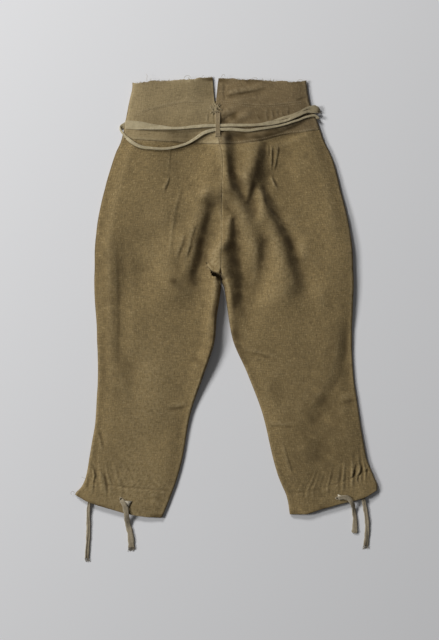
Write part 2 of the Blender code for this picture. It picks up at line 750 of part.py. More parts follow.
def make_fly_shield(group):
    """The strip behind the front opening, flat on the inner face of the fronts."""
    z = CLOTH * 2 + SEAM
    corners = [[(x, down, z) for x in SHIELD_X] for down in SHIELD_DOWN]
    points = np.array(corners, float)
    normals = np.zeros_like(points) + np.array([0.0, 0.0, 1.0])
    cloth_wall("fly_shield", points, normals, CLOTH, finish("fly_shield", KHAKI), group)


def make_ties(group):
    for name, bends in TIES.items():
        line = through(bends, TIE_STEP)
        curve = bpy.data.curves.new(name, "CURVE")
        curve.dimensions = "3D"
        spline = curve.splines.new("POLY")
        spline.points.add(len(line) - 1)
        for point, values in zip(spline.points, line):
            point.co = (*place(values), 1.0)
        curve.bevel_depth = TIE_RADIUS * MM
        curve.bevel_resolution = 2
        curve.use_fill_caps = True
        spline.use_smooth = True
        add_object(name, curve, finish(name, TIE_BEIGE), group)


def cut_eyelets(pieces, cutters):
    """A slot through the back of each hem, where a drawstring comes out."""
    for k, eyelet in enumerate(EYELETS):
        middle = place((eyelet.x, eyelet.down, top_of_back(eyelet.x, eyelet.down) - CLOTH / 2))
        bpy.ops.mesh.primitive_cylinder_add(vertices=EYELET_SIDES, radius=0.5, depth=1.0, location=middle)
        cutter = bpy.context.object
        cutter.name = "eyelet_cutter_%d" % (k + 1)
        cutter.scale = (EYELET_LENGTH * MM, EYELET_WIDTH * MM, EYELET_DEPTH * MM)
        cutter.rotation_euler = (0.0, 0.0, math.radians(eyelet.turn))
        cutter.hide_render = True
        cutter.display_type = "WIRE"
        for owner in list(cutter.users_collection):
            owner.objects.unlink(cutter)
        cutters.objects.link(cutter)
        slot = pieces.objects[eyelet.panel].modifiers.new("eyelet", "BOOLEAN")
        slot.operation = "DIFFERENCE"
        slot.solver = "EXACT"
        slot.object = cutter


def main():
    for old in list(bpy.data.objects):
        bpy.data.objects.remove(old, do_unlink=True)
    pieces = bpy.data.collections.new("army_trousers")
    cutters = bpy.data.collections.new("cutters")
    for group in (pieces, cutters):
        bpy.context.scene.collection.children.link(group)
    make_legs(pieces)
    make_waistband(pieces)
    make_belt_loop(pieces)
    make_tape("waist_tape_left", LEFT_TAPE_OVER, LEFT_TAPE_ROUND, pieces)
    make_tape("waist_tape_right", RIGHT_TAPE_OVER, RIGHT_TAPE_ROUND, pieces)
    make_fly_shield(pieces)
    make_ties(pieces)
    cut_eyelets(pieces, cutters)


main()
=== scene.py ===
import math
import random
from collections import namedtuple

import bpy
import numpy as np
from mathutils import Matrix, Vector


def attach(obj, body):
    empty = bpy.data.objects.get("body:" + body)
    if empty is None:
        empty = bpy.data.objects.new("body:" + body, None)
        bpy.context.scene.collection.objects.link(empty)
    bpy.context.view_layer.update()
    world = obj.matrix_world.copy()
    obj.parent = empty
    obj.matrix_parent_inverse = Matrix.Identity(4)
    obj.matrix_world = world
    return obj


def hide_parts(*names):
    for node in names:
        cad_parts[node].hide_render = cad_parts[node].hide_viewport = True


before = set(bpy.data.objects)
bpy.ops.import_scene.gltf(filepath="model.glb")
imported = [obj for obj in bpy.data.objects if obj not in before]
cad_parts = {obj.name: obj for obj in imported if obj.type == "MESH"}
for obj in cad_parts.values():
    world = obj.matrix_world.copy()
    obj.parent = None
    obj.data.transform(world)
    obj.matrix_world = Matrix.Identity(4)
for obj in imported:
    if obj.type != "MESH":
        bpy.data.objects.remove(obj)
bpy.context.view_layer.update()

# The table, the light and the view: a plain pale table under a strong soft light low
# on the left and a weaker one beyond the waist, seen from straight above.
VIEW_MIDDLE = Vector((-0.0151, -0.0486, 0.010))
VIEW_LENGTH = 1.363
VIEW_DISTANCE = 4.2
SENSOR = 36.0
VIEW_REACH = 40.0
HALF_FLOOR = 7.0
FLOOR_COLOUR = (0.755, 0.755, 0.765, 1.0)
FLOOR_ROUGHNESS = 0.9
FLOOR_SHINE = 0.1
SIDE_LIGHT = {"at": (-6.21, 0.475, 4.21), "size": 1.75, "power": 345.0}
HEAD_LIGHT = {"at": (-2.43, 3.38, 2.84), "size": 1.1, "power": 144.0}
SKY_COLOUR = (0.97, 0.98, 1.0, 1.0)
SKY_STRENGTH = 0.095

camera = bpy.data.objects.new("camera", bpy.data.cameras.new("camera"))
bpy.context.scene.collection.objects.link(camera)
camera.location = VIEW_MIDDLE + Vector((0.0, 0.0, VIEW_DISTANCE))
camera.data.sensor_width = SENSOR
camera.data.lens = SENSOR * VIEW_DISTANCE / VIEW_LENGTH
camera.data.clip_end = VIEW_REACH
bpy.context.scene.camera = camera
bpy.context.scene.view_settings.view_transform = "Standard"


def soft_light(name, at, size, power):
    lamp = bpy.data.lights.new(name, "AREA")
    lamp.shape = "SQUARE"
    lamp.size = size
    lamp.energy = power
    holder = bpy.data.objects.new(name, lamp)
    holder.location = at
    holder.rotation_euler = (VIEW_MIDDLE - Vector(at)).to_track_quat("-Z", "Y").to_euler()
    bpy.context.scene.collection.objects.link(holder)


soft_light("side_light", **SIDE_LIGHT)
soft_light("head_light", **HEAD_LIGHT)
sky = bpy.data.worlds.new("sky")
sky.use_nodes = True
sky.node_tree.nodes["Background"].inputs["Color"].default_value = SKY_COLOUR
sky.node_tree.nodes["Background"].inputs["Strength"].default_value = SKY_STRENGTH
bpy.context.scene.world = sky

floor_mesh = bpy.data.meshes.new("floor")
corners = [(HALF_FLOOR * x, HALF_FLOOR * y, 0) for x, y in ((-1, -1), (1, -1), (1, 1), (-1, 1))]
floor_mesh.from_pydata(corners, [], [(0, 1, 2, 3)])
floor = bpy.data.objects.new("floor", floor_mesh)
bpy.context.scene.collection.objects.link(floor)
paper = bpy.data.materials.new("floor_paper")
paper.use_nodes = True
paper_shader = paper.node_tree.nodes["Principled BSDF"]
paper_shader.inputs["Base Color"].default_value = FLOOR_COLOUR
paper_shader.inputs["Roughness"].default_value = FLOOR_ROUGHNESS
paper_shader.inputs["Specular IOR Level"].default_value = FLOOR_SHINE
floor_mesh.materials.append(paper)


# The cotton of the garment: the drill, the tapes and the threads are all spun cotton,
# woven or twisted. Two effects make them: the woven yarns, which give the height and
# the yarn on top, and the mixed shades of the yarns, with rubbed and soiled places
# that also carry painted light and painted shade.
def feed(tree, socket, value):
    """Give a socket a number or a colour, or link another node's output to it."""
    if isinstance(value, bpy.types.NodeSocket):
        tree.links.new(value, socket)
    elif value is not None:
        socket.default_value = value


def calculate(tree, operation, a, b=None):
    node = tree.nodes.new("ShaderNodeMath")
    node.operation = operation
    for socket, value in zip(node.inputs, (a, b)):
        feed(tree, socket, value)
    return node.outputs[0]


def plus(tree, a, b):
    return calculate(tree, "ADD", a, b)


def minus(tree, a, b):
    return calculate(tree, "SUBTRACT", a, b)


def times(tree, a, b):
    return calculate(tree, "MULTIPLY", a, b)


def mix_colour(tree, share, first, second):
    node = tree.nodes.new("ShaderNodeMix")
    node.data_type = "RGBA"
    colours = [socket for socket in node.inputs if socket.type == "RGBA"]
    for socket, value in zip([node.inputs["Factor"]] + colours, (share, first, second)):
        feed(tree, socket, value)
    return [socket for socket in node.outputs if socket.type == "RGBA"][0]


# Spots of about size metres: the noise counts from low, and is a full spot at high.
Spots = namedtuple("Spots", "size low high detail stretch")
EVEN = (1.0, 1.0, 1.0)
PALE_FLECKS = Spots(0.0021, 0.50, 0.74, 3.0, (1.0, 0.45, 1.0))
DARK_FLECKS = Spots(0.0023, 0.52, 0.76, 3.0, (0.5, 1.0, 1.0))
SLUBS_UP = Spots(0.0016, 0.3, 0.7, 2.0, (1.0, 0.10, 1.0))
SLUBS_ACROSS = Spots(0.0016, 0.3, 0.7, 2.0, (0.10, 1.0, 1.0))
CLOUDS = Spots(0.055, 0.25, 0.75, 4.0, EVEN)
WIDE_CLOUDS = Spots(0.19, 0.3, 0.7, 2.0, EVEN)
PALER_SPOTS = Spots(0.006, 0.3, 0.7, 3.0, EVEN)
DARKER_SPOTS = Spots(0.02, 0.2, 0.7, 3.0, EVEN)


def spotted(tree, at, spots):
    """Uneven spots over the piece, as a mask from 0 to 1."""
    sized = tree.nodes.new("ShaderNodeMapping")
    sized.inputs["Scale"].default_value = [share / spots.size for share in spots.stretch]
    tree.links.new(at, sized.inputs["Vector"])
    noise = tree.nodes.new("ShaderNodeTexNoise")
    noise.inputs["Scale"].default_value = 1.0
    noise.inputs["Detail"].default_value = spots.detail
    tree.links.new(sized.outputs[0], noise.inputs["Vector"])
    ranged = tree.nodes.new("ShaderNodeMapRange")
    ranged.interpolation_type = "SMOOTHSTEP"
    ranged.inputs["From Min"].default_value = spots.low
    ranged.inputs["From Max"].default_value = spots.high
    tree.links.new(noise.outputs["Fac"], ranged.inputs["Value"])
    return ranged.outputs[0]


def new_group(name, inputs, outputs):
    group = bpy.data.node_groups.new(name, "ShaderNodeTree")
    for label, kind, value in inputs:
        socket = group.interface.new_socket(label, in_out="INPUT", socket_type="NodeSocket" + kind)
        if value is not None:
            socket.default_value = value
    for label, kind in outputs:
        group.interface.new_socket(label, in_out="OUTPUT", socket_type="NodeSocket" + kind)
    return group, group.nodes.new("NodeGroupInput").outputs, group.nodes.new("NodeGroupOutput").inputs


STRAY_SCALE = 160.0
STRAY = 0.0012


def woven_yarns():
    """Yarns that cross: warp along, weft across, each over the other in turn."""
    group, given, result = new_group(
        "woven_yarns",
        [("Place", "Vector", None), ("Pitch", "Float", 0.0008), ("Run", "Float", 3.0)],
        [("Height", "Float"), ("Warp", "Float")],
    )
    wobble = group.nodes.new("ShaderNodeTexNoise")
    wobble.inputs["Scale"].default_value = STRAY_SCALE
    group.links.new(given["Place"], wobble.inputs["Vector"])
    split = group.nodes.new("ShaderNodeSeparateXYZ")
    group.links.new(given["Place"], split.inputs[0])
    strays = times(group, wobble.outputs["Fac"], STRAY)
    across, along = (
        calculate(group, "DIVIDE", plus(group, at, strays), given["Pitch"]) for at in split.outputs[:2]
    )
    order = plus(group, calculate(group, "FLOOR", across), calculate(group, "FLOOR", along))
    turn = calculate(group, "FLOORED_MODULO", order, given["Run"])
    warp = calculate(group, "LESS_THAN", turn, minus(group, given["Run"], 1.0))
    round_across, round_along = (
        calculate(group, "SINE", times(group, calculate(group, "FRACT", count), math.pi))
        for count in (across, along)
    )
    weft = minus(group, 1.0, warp)
    height = plus(group, times(group, warp, round_across), times(group, weft, round_along))
    group.links.new(height, result["Height"])
    group.links.new(warp, result["Warp"])
    return group


WEFT_PALER = 0.16
CLOUD_SHARE = 0.6
SLUB_STRENGTH = 0.40
ROUGHNESS = 0.96
WORN_SMOOTHER = 0.12


def yarn_shades():
    """The shades of mixed yarn, cloudy over the piece, paler by wear and painted light, darker by soil and
    painted shade.
    """
    group, given, result = new_group(
        "yarn_shades",
        [
            ("Place", "Vector", None), ("Yarn", "Color", None), ("Pale", "Color", None),
            ("Dark", "Color", None), ("Flecks", "Float", 0.5), ("Clouds", "Float", 0.3),
            ("Warp", "Float", 0.5), ("Rubbed", "Float", 0.0), ("Soiled", "Float", 0.0),
        ],
        [("Color", "Color"), ("Roughness", "Float")],
    )
    at = given["Place"]
    colour = given["Yarn"]
    for flecks, shade in ((PALE_FLECKS, "Pale"), (DARK_FLECKS, "Dark")):
        share = times(group, spotted(group, at, flecks), given["Flecks"])
        colour = mix_colour(group, share, colour, given[shade])
    slubs = minus(group, plus(group, spotted(group, at, SLUBS_UP), spotted(group, at, SLUBS_ACROSS)), 1.0)
    weft = times(group, minus(group, 1.0, given["Warp"]), WEFT_PALER)
    colour = mix_colour(group, weft, colour, given["Pale"])
    narrow = times(group, spotted(group, at, CLOUDS), CLOUD_SHARE)
    wide = times(group, spotted(group, at, WIDE_CLOUDS), 1.0 - CLOUD_SHARE)
    cloudy = times(group, minus(group, plus(group, narrow, wide), 0.5), given["Clouds"])
    uneven = times(group, slubs, times(group, given["Flecks"], SLUB_STRENGTH))
    level = group.nodes.new("ShaderNodeHueSaturation")
    group.links.new(plus(group, plus(group, cloudy, 1.0), uneven), level.inputs["Value"])
    group.links.new(colour, level.inputs["Color"])
    paler = times(group, given["Rubbed"], spotted(group, at, PALER_SPOTS))
    colour = mix_colour(group, paler, level.outputs[0], given["Pale"])
    soiled = times(group, given["Soiled"], spotted(group, at, DARKER_SPOTS))
    colour = mix_colour(group, soiled, colour, given["Dark"])
    group.links.new(colour, result["Color"])
    group.links.new(minus(group, ROUGHNESS, times(group, paler, WORN_SMOOTHER)), result["Roughness"])
    return group


WOVEN_YARNS = woven_yarns()
YARN_SHADES = yarn_shades()
Cotton = namedtuple("Cotton", "yarn pale dark pitch run flecks clouds relief sheen")
RELIEF_STRENGTH = 0.5
SHINE = 0.18
SHEEN_ROUGHNESS = 0.6


def placed(tree, group, **given):
    """A shared effect placed in a material, with its own values."""
    node = tree.nodes.new("ShaderNodeGroup")
    node.node_tree = group
    for label, value in given.items():
        feed(tree, node.inputs[label], value)
    return node


def cotton_material(name, cotton):
    """A finish of spun cotton; its place on the cloth comes from the mesh's own lay."""
    material = bpy.data.materials.new(name)
    material.use_nodes = True
    tree = material.node_tree
    # The two marks: one makes the cloth paler, for wear and for painted light, the other darker, for soil and
    # for painted shade.
    lay, rub, soil = (tree.nodes.new("ShaderNodeAttribute") for _ in range(3))
    lay.attribute_name, rub.attribute_name, soil.attribute_name = "lay", "rub", "soil"
    at = lay.outputs["Vector"]
    weave = placed(tree, WOVEN_YARNS, Place=at, Pitch=cotton.pitch, Run=cotton.run)
    shades = placed(
        tree, YARN_SHADES, Place=at, Yarn=(*cotton.yarn, 1.0), Pale=(*cotton.pale, 1.0),
        Dark=(*cotton.dark, 1.0), Flecks=cotton.flecks, Clouds=cotton.clouds,
        Warp=weave.outputs["Warp"], Rubbed=rub.outputs["Fac"], Soiled=soil.outputs["Fac"],
    )
    bump = tree.nodes.new("ShaderNodeBump")
    bump.inputs["Strength"].default_value = RELIEF_STRENGTH
    bump.inputs["Distance"].default_value = cotton.relief
    tree.links.new(weave.outputs["Height"], bump.inputs["Height"])
    shader = tree.nodes["Principled BSDF"]
    shader.inputs["Specular IOR Level"].default_value = SHINE
    shader.inputs["Sheen Weight"].default_value = cotton.sheen
    shader.inputs["Sheen Roughness"].default_value = SHEEN_ROUGHNESS
    tree.links.new(shades.outputs["Color"], shader.inputs["Base Color"])
    tree.links.new(shades.outputs["Roughness"], shader.inputs["Roughness"])
    tree.links.new(bump.outputs["Normal"], shader.inputs["Normal"])
    return material


# Sizes are millimetres, as a cutter measures the laid-out garment: x to the right,
# down from the top of the waistband to the hems, z up from the table. place() turns
# them into the garment's frame, in metres.
MM = 0.001
MIDDLE_X = -3.0
MIDDLE_DOWN = 469.0
BODY = "root"


def place(points):
    x, down, z = np.moveaxis(np.asarray(points, float), -1, 0)
    return np.stack([x - MIDDLE_X, MIDDLE_DOWN - down, z], axis=-1) * MM


def new_mesh(name, points, faces, material, **marks):
    """A mesh piece of the garment, with its marks for each point kept on the mesh."""
    mesh = bpy.data.meshes.new(name)
    points = place(points).reshape(-1, 3)
    mesh.from_pydata(points.tolist(), [], faces)
    for label, values in marks.items():
        kind = "FLOAT_VECTOR" if label == "lay" else "FLOAT"
        mark = mesh.attributes.new(label, kind, "POINT")
        mark.data.foreach_set("vector" if label == "lay" else "value", np.asarray(values, np.float32).ravel())
    mesh.shade_smooth()
    mesh.materials.append(material)
    piece = bpy.data.objects.new(name, mesh)
    bpy.context.scene.collection.objects.link(piece)
    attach(piece, BODY)
    return piece


# The ends of the hem drawstrings: narrow cotton tapes, rolled and rubbed round. The outer
# ones come out at the side of the hem and the inner ones through the slots in the casing,
# and all lie loose on the table. Their routes are those of the part's own tie solids.
TIE_COTTON = Cotton(
    yarn=(0.300, 0.247, 0.162), pale=(0.46, 0.40, 0.29), dark=(0.150, 0.115, 0.066),
    pitch=0.0009, run=2.0, flecks=0.45, clouds=0.5, relief=0.0004, sheen=0.25,
)
TIE_THICKNESS = 4.2
TIE_STEP = 1.6
TIE_SIDES = 24
Tie = namedtuple("Tie", "name bends widths twist crease yarns")
TIES = [
    Tie(
        "tie_left_outer",
        [(-293, 888, 4.3), (-295, 903, 4.3), (-297, 917, 4.2), (-298, 935, 2.7),
         (-298, 967, 2.6), (-299, 994, 2.6), (-301, 1026, 2.6)],
        (6.4, 7.6, 8.2, 8.6, 8.4, 9.6), 0.25, 0.75, 18,
    ),
    Tie(
        "tie_left_inner",
        [(-226.6, 900.6, 8.8), (-224.4, 904.4, 12), (-220, 912, 13.4), (-217, 923, 13.2),
         (-216, 933, 12.6), (-215, 943, 8), (-213, 956, 2.9), (-208, 975, 2.6), (-206, 1003, 2.6)],
        (9.6, 11.6, 11.4, 11.8, 13.0, 13.6), 0.0, 0.3, 34,
    ),
    Tie(
        "tie_right_inner",
        [(235, 896.8, 8.8), (239, 896, 12), (247, 895, 13.2), (257, 898, 13),
         (263, 906, 12.4), (267, 915, 8), (269, 928, 2.9), (271, 944, 2.6), (270, 973, 2.6)],
        (9.4, 9.8, 9.2, 8.8, 9.4, 10.6, 13.6), 0.3, 0.3, 0,
    ),
    Tie(
        "tie_right_outer",
        [(284, 880, 4.3), (287, 893, 4.3), (290, 907, 4.2), (293, 922, 2.7),
         (296, 940, 2.6), (297, 963, 2.6), (294, 999, 2.6)],
        (7.6, 8.6, 9.0, 9.4, 9.8, 10.4), -0.2, 0.6, 20,
    ),
]


BEND_POINTS = 16


def through(rows, step):
    """Points every step along a smooth line through the rows."""
    values = np.array([tuple(row) for row in rows], float)
    values = np.vstack([2 * values[0] - values[1], values, 2 * values[-1] - values[-2]])
    line = []
    for a, b, c, d in zip(values, values[1:], values[2:], values[3:]):
        for t in np.linspace(0.0, 1.0, BEND_POINTS, endpoint=False):
            bend = 2 * a - 5 * b + 4 * c - d
            line.append(0.5 * (2 * b + (c - a) * t + bend * t * t + (3 * b - a - 3 * c + d) * t ** 3))
    line = np.array(line + [values[-2]])
    lengths = np.r_[0.0, np.cumsum(np.linalg.norm(np.diff(line[:, :3], axis=0), axis=1))]
    at = np.linspace(0.0, lengths[-1], max(2, round(lengths[-1] / step)) + 1)
    return np.stack([np.interp(at, lengths, line[:, k]) for k in range(line.shape[1])], axis=-1)


def ease(value):
    value = np.clip(value, 0.0, 1.0)
    return value * value * (3.0 - 2.0 * value)


def unit(vectors, least=1e-6):
    """The same headings, each one long."""
    return vectors / np.maximum(np.linalg.norm(vectors, axis=-1, keepdims=True), least)


def tube_faces(rings, sides):
    faces = [
        (r * sides + k, r * sides + (k + 1) % sides, (r + 1) * sides + (k + 1) % sides, (r + 1) * sides + k)
        for r in range(rings - 1) for k in range(sides)
    ]
    return faces + [tuple(range(sides))[::-1], tuple((rings - 1) * sides + k for k in range(sides))]


THIN_END = 0.6


def threads(name, lines, radius, material, sides=4):
    """Many separate threads as one piece, each a thin tube along its own line."""
    points, faces, lay = [], [], []
    for line in lines:
        line = np.asarray(line, float)
        heading = unit(np.gradient(line, axis=0))
        across = unit(np.cross(heading, (0.0, 0.0, 1.0)) + (1e-4, 0.0, 0.0))
        above = np.cross(across, heading)
        thick = radius * (1.0 - THIN_END * np.linspace(-1.0, 1.0, len(line)) ** 6)
        for ring, (middle, side, up, reach) in enumerate(zip(line, across, above, thick)):
            for k in range(sides):
                turn = 2 * math.pi * k / sides
                points.append(middle + reach * (side * math.cos(turn) + up * math.sin(turn)))
                lay.append((k * MM, ring * MM, 0.0))
        first = len(points) - len(line) * sides
        faces += [tuple(first + k for k in face) for face in tube_faces(len(line), sides)]
    return new_mesh(name, points, faces, material, lay=lay)


# a loose yarn turns aside by up to FRAY_SPREAD of its length and bends by up to FRAY_CURL
FRAY_SPREAD = 0.55
FRAY_CURL = 0.3
FRAY_SHORTEST = 0.35
FRAY_LOWEST = 0.4
FRAY_STEP = 1.5
FRAY_RADIUS = 0.3


def frayed_end(chance, tip, heading, count, length, spread):
    """Loose yarns that fan out from a raw end."""
    side = np.array([-heading[1], heading[0]])
    yarns = []
    for _ in range(count):
        start = tip[:2] + side * chance.uniform(-0.5, 0.5) * spread
        way = heading + side * chance.uniform(-FRAY_SPREAD, FRAY_SPREAD)
        reach = length * chance.uniform(FRAY_SHORTEST, 1.0)
        curl = side * chance.uniform(-FRAY_CURL, FRAY_CURL) * reach
        yarn = []
        for t in (0.0, 0.3, 0.6, 1.0):
            spot = start + way * reach * t + curl * t * t
            height = tip[2] * (1 - t) + chance.uniform(0.2, 1.2)
            yarn.append((spot[0], spot[1], max(FRAY_LOWEST, height)))
        yarns.append(through(yarn, FRAY_STEP))
    return yarns


TIE_MATERIAL = cotton_material("tie_tape_cotton", TIE_COTTON)
WORN_COTTON = TIE_COTTON._replace(yarn=(0.62, 0.55, 0.42), pale=(0.75, 0.69, 0.56))
TIE_WORN = cotton_material("tie_tape_worn", WORN_COTTON)
TIE_LOWEST = 0.15
TIE_FRAY = 9.0
# where along a tie its raw end starts, and where a blunt end starts to round off
RAW_FROM, RAW_LENGTH = 0.90, 0.08
BLUNT_FROM, BLUNT_LENGTH = 0.95, 0.052
# the crease that runs along a tie: its turn round the section, its wander and its width
CREASE_TURN, CREASE_WANDER, CREASE_WIDE = 1.45, 0.35, 0.36
SQUARED = 0.8
EDGE_PALER = 0.55
RAW_SOIL = 0.6
LAY_STEP = 1.3
# A worn pale corner of each inner tie is folded over on the hem, where the tie comes out.
FOLDED_CORNERS = {
    "tie_left_inner": [(-222.5, 902.5, 13.4), (-205, 902.8, 12.6), (-211.5, 915.0, 12.8)],
    "tie_right_inner": [(233.0, 888.5, 12.4), (242.5, 891.5, 14.6), (238.0, 901.5, 12.2)],
}
CORNER_THICKNESS = 1.2
CORNER_FACES = [(0, 1, 2), (5, 4, 3), (0, 3, 4, 1), (1, 4, 5, 2), (2, 5, 3, 0)]

for number, tie in enumerate(TIES):
    line = through(tie.bends, TIE_STEP)
    heading = unit(np.gradient(line, axis=0))
    across = unit(np.cross(heading, (0.0, 0.0, 1.0)))
    above = np.cross(across, heading)
    t = np.linspace(0.0, 1.0, len(line))
    width = np.interp(t, np.linspace(0, 1, len(tie.widths)), tie.widths)
    width *= 1 + 0.06 * np.sin(t * 31 + number) + 0.04 * np.sin(t * 57 + 2 * number)
    roll = tie.twist * np.sin(t * math.pi * 1.6 + number)
    raw = ease((t - RAW_FROM) / RAW_LENGTH) if tie.yarns else 0.0 * t
    past = ((t - BLUNT_FROM) / BLUNT_LENGTH).clip(0)
    blunt = 1.0 + 0.0 * t if tie.yarns else np.sqrt(np.clip(1.0 - past ** 2, 0.02, 1.0))
    points, lay, paler, dark = [], [], [], []
    for k in range(TIE_SIDES):
        turn = 2 * math.pi * k / TIE_SIDES
        from_crease = turn - CREASE_TURN - CREASE_WANDER * np.sin(t * 9 + number)
        crease = tie.crease * np.exp(-((from_crease / CREASE_WIDE) ** 2))
        out = np.sign(math.cos(turn)) * abs(math.cos(turn)) ** SQUARED * width / 2 * blunt
        up = math.sin(turn) * TIE_THICKNESS / 2 * (1.0 - crease) * blunt
        ring = (out * np.cos(roll) - up * np.sin(roll))[:, None] * across
        ring = ring + (out * np.sin(roll) + up * np.cos(roll))[:, None] * above
        points.append(line + ring)
        # both rims of each tie are made paler
        paler.append(EDGE_PALER * abs(math.cos(turn)) ** 6 * (1.0 - raw))
        # The crease's groove is painted darker too, painted shade; the raw end is darker with soil.
        dark.append(np.clip(crease + RAW_SOIL * raw, 0.0, 1.0))
        along = t * len(line) * TIE_STEP
        lay.append(np.stack([np.full(len(line), k * LAY_STEP), along, 0 * t], axis=-1) * MM)
    points = np.stack(points, axis=1)
    points[..., 2] = np.maximum(points[..., 2], TIE_LOWEST)
    piece = new_mesh(
        tie.name + "_tape", points, tube_faces(len(line), TIE_SIDES), TIE_MATERIAL,
        lay=np.stack(lay, axis=1), rub=np.stack(paler, axis=1), soil=np.stack(dark, axis=1),
    )
    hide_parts(tie.name)
    if tie.yarns:
        chance = random.Random(40 + number)
        yarns = frayed_end(chance, line[-1], heading[-1, :2], tie.yarns, TIE_FRAY, width[-1])
        threads(tie.name + "_fray", yarns, FRAY_RADIUS, TIE_MATERIAL)
    if tie.name in FOLDED_CORNERS:
        rim = np.array(FOLDED_CORNERS[tie.name])
        corner = np.vstack([rim, rim - (0.0, 0.0, CORNER_THICKNESS)])
        new_mesh(tie.name + "_corner", corner, CORNER_FACES, TIE_WORN, lay=corner * MM)


# The shape of the laid-out garment. It lies with the back up: each half has a back and a
# front panel joined at the side and along the inseam, and the back stands a little off
# the front, with a soft roll at the edges.
CLOTH = 1.4
SEAM = 0.3
EDGE_HEIGHT = 7.4
ROLL = 5.0
SHOULDER = 36.0
LOWEST_BACK = 4.6
FORK_DOWN = 432.0
FORK_LENGTH = 26.0
USUAL_WIDTH = 200.0
FOLLOW_EDGE = 130.0
Outline = namedtuple("Outline", "down left_outer centre parting right_outer")
OUTLINE = [Outline(*row) for row in [
    (-4, -204, -26.0, 14.0, 166),
    (15, -204, -26.8, 9.5, 168),
    (51, -211, -27.2, 3.5, 174),
    (60, -213, -27.0, 0.3, 177),
    (89, -218, -24.0, 0.3, 189),
    (136, -228, -19.2, 0.3, 205),
    (160, -239, -13.0, 0.3, 217),
    (185, -247, -11.0, 0.3, 226),
    (236, -262, -12.9, 0.3, 239),
    (288, -275, -13.0, 0.3, 253),
    (330, -281, -13.0, 0.3, 261),
    (377, -285, -14.0, 0.3, 267),
    (432, -285, -15.3, 1.2, 268),
    (452, -285, -11.4, 7.0, 268),
    (479, -284, -11.2, 15, 267),
    (505, -282, -11.4, 23, 266),
    (556, -279, -9.0, 36.5, 264),
    (633, -278, -4.5, 93, 268),
    (722, -282, -3.0, 156, 280),
    (812, -296, -0.5, 193, 296),
    (850, -303, 0.0, 214, 311),
    (872, -312, 1.0, 230, 319),
    (890, -326, 1.5, 245, 319),
    (940, -328, -4.0, 274, 319),
]]
Height = namedtuple("Height", "down back")
HEIGHTS = [
    Height(-4, 10.2), Height(60, 10.8), Height(136, 13.0), Height(280, 16.0), Height(400, 15.5),
    Height(560, 12.6), Height(760, 11.0), Height(880, 10.2), Height(940, 9.6),
]
# How much higher than EDGE_HEIGHT each edge stands: the left thigh's inner edge stands up.
EdgeStands = namedtuple("EdgeStands", "down left_outer left_inner right_inner right_outer")
EDGE_STANDS = [EdgeStands(*row) for row in [
    (-4, 0, 0, 0, 0), (180, 0, 0, 0, 1), (300, 0, 0, 0, 4), (380, 0, 0, 0, 5.5), (432, 0, 6, 2, 5.5),
    (480, 0, 14.5, 3.5, 4.5), (560, 0, 17, 2.5, 0), (610, 0, 14, 1, -1), (650, 0, 8.5, 0.5, -1),
    (720, 0, 2, 0, -0.5), (800, 0, 0, 0, 1), (940, 0, 0, 0, 1),
]]
Edge = namedtuple("Edge", "across left right")
WAIST_SEAM = [
    Edge(0.0, 130, 112), Edge(0.15, 133, 116), Edge(0.35, 136, 122), Edge(0.65, 140, 137),
    Edge(1.0, 143, 144),
]
FRONT_SEAM = [Edge(0.0, 130, 112), Edge(0.5, 124, 118), Edge(1.0, 118, 118)]
HEM = [
    Edge(0.0, 890, 880), Edge(0.15, 906, 897), Edge(0.4, 921, 909), Edge(0.65, 933, 922),
    Edge(0.85, 938, 932), Edge(1.0, 939, 932),
]
RIP_DOWN = 421.5
RIP_END = 476.0
RIP_GAPE = 1.2
RIP_OPENS = 8.0
RIP_CLOSES = 26.0
RIP_REACH = 14.0
SIDES = ("left", "right")


def smooth_line(stations, values, flat_ends=False):
    """A line through the values that never swings past them."""
    stations = np.asarray(stations, float)
    values = np.asarray(values, float)
    rises = np.diff(values) / np.diff(stations)
    slopes = np.zeros_like(values)
    if not flat_ends:
        slopes[0], slopes[-1] = rises[0], rises[-1]
    for k in range(1, len(values) - 1):
        if rises[k - 1] * rises[k] > 0.0:
            slopes[k] = 2.0 / (1.0 / rises[k - 1] + 1.0 / rises[k])

    def at(position):
        position = np.clip(np.asarray(position, float), stations[0], stations[-1])
        k = np.clip(np.searchsorted(stations, position) - 1, 0, len(stations) - 2)
        length = stations[k + 1] - stations[k]
        t = (position - stations[k]) / length
        return (
            values[k] * (1 + 2 * t) * (1 - t) ** 2
            + slopes[k] * length * t * (1 - t) ** 2
            + values[k + 1] * t * t * (3 - 2 * t)
            - slopes[k + 1] * length * t * t * (1 - t)
        )

    return at


def column(rows, name):
    """A smooth line of one column of a table, against the table's first column."""
    return smooth_line([row[0] for row in rows], [getattr(row, name) for row in rows])


CENTRE_X = column(OUTLINE, "centre")
PARTING = column(OUTLINE, "parting")
OUTER_X = {side: column(OUTLINE, side + "_outer") for side in SIDES}
INNER_X = {
    "left": lambda down: CENTRE_X(down) - PARTING(down) / 2,
    "right": lambda down: CENTRE_X(down) + PARTING(down) / 2,
}
BACK_HEIGHT = column(HEIGHTS, "back")
STANDING = {name: column(EDGE_STANDS, name) for name in EdgeStands._fields[1:]}


def fork(down):
    """0 where the two halves are one layer, 1 where each leg is a closed tube."""
    return ease((down - FORK_DOWN + FORK_LENGTH) / FORK_LENGTH)


RIPPLES = 64


def ripple(x, y, size, seed):
    """Soft uneven waves about size across, from -1 to 1."""
    table = np.random.RandomState(seed).uniform(-1.0, 1.0, (RIPPLES, RIPPLES))
    u, v = np.asarray(x, float) / size, np.asarray(y, float) / size
    i, j = np.floor(u).astype(int), np.floor(v).astype(int)
    a, b = ease(u - i), ease(v - j)
    low, high = (
        table[i % RIPPLES, (j + n) % RIPPLES] * (1 - a) + table[(i + 1) % RIPPLES, (j + n) % RIPPLES] * a
        for n in (0, 1)
    )
    return low * (1 - b) + high * b


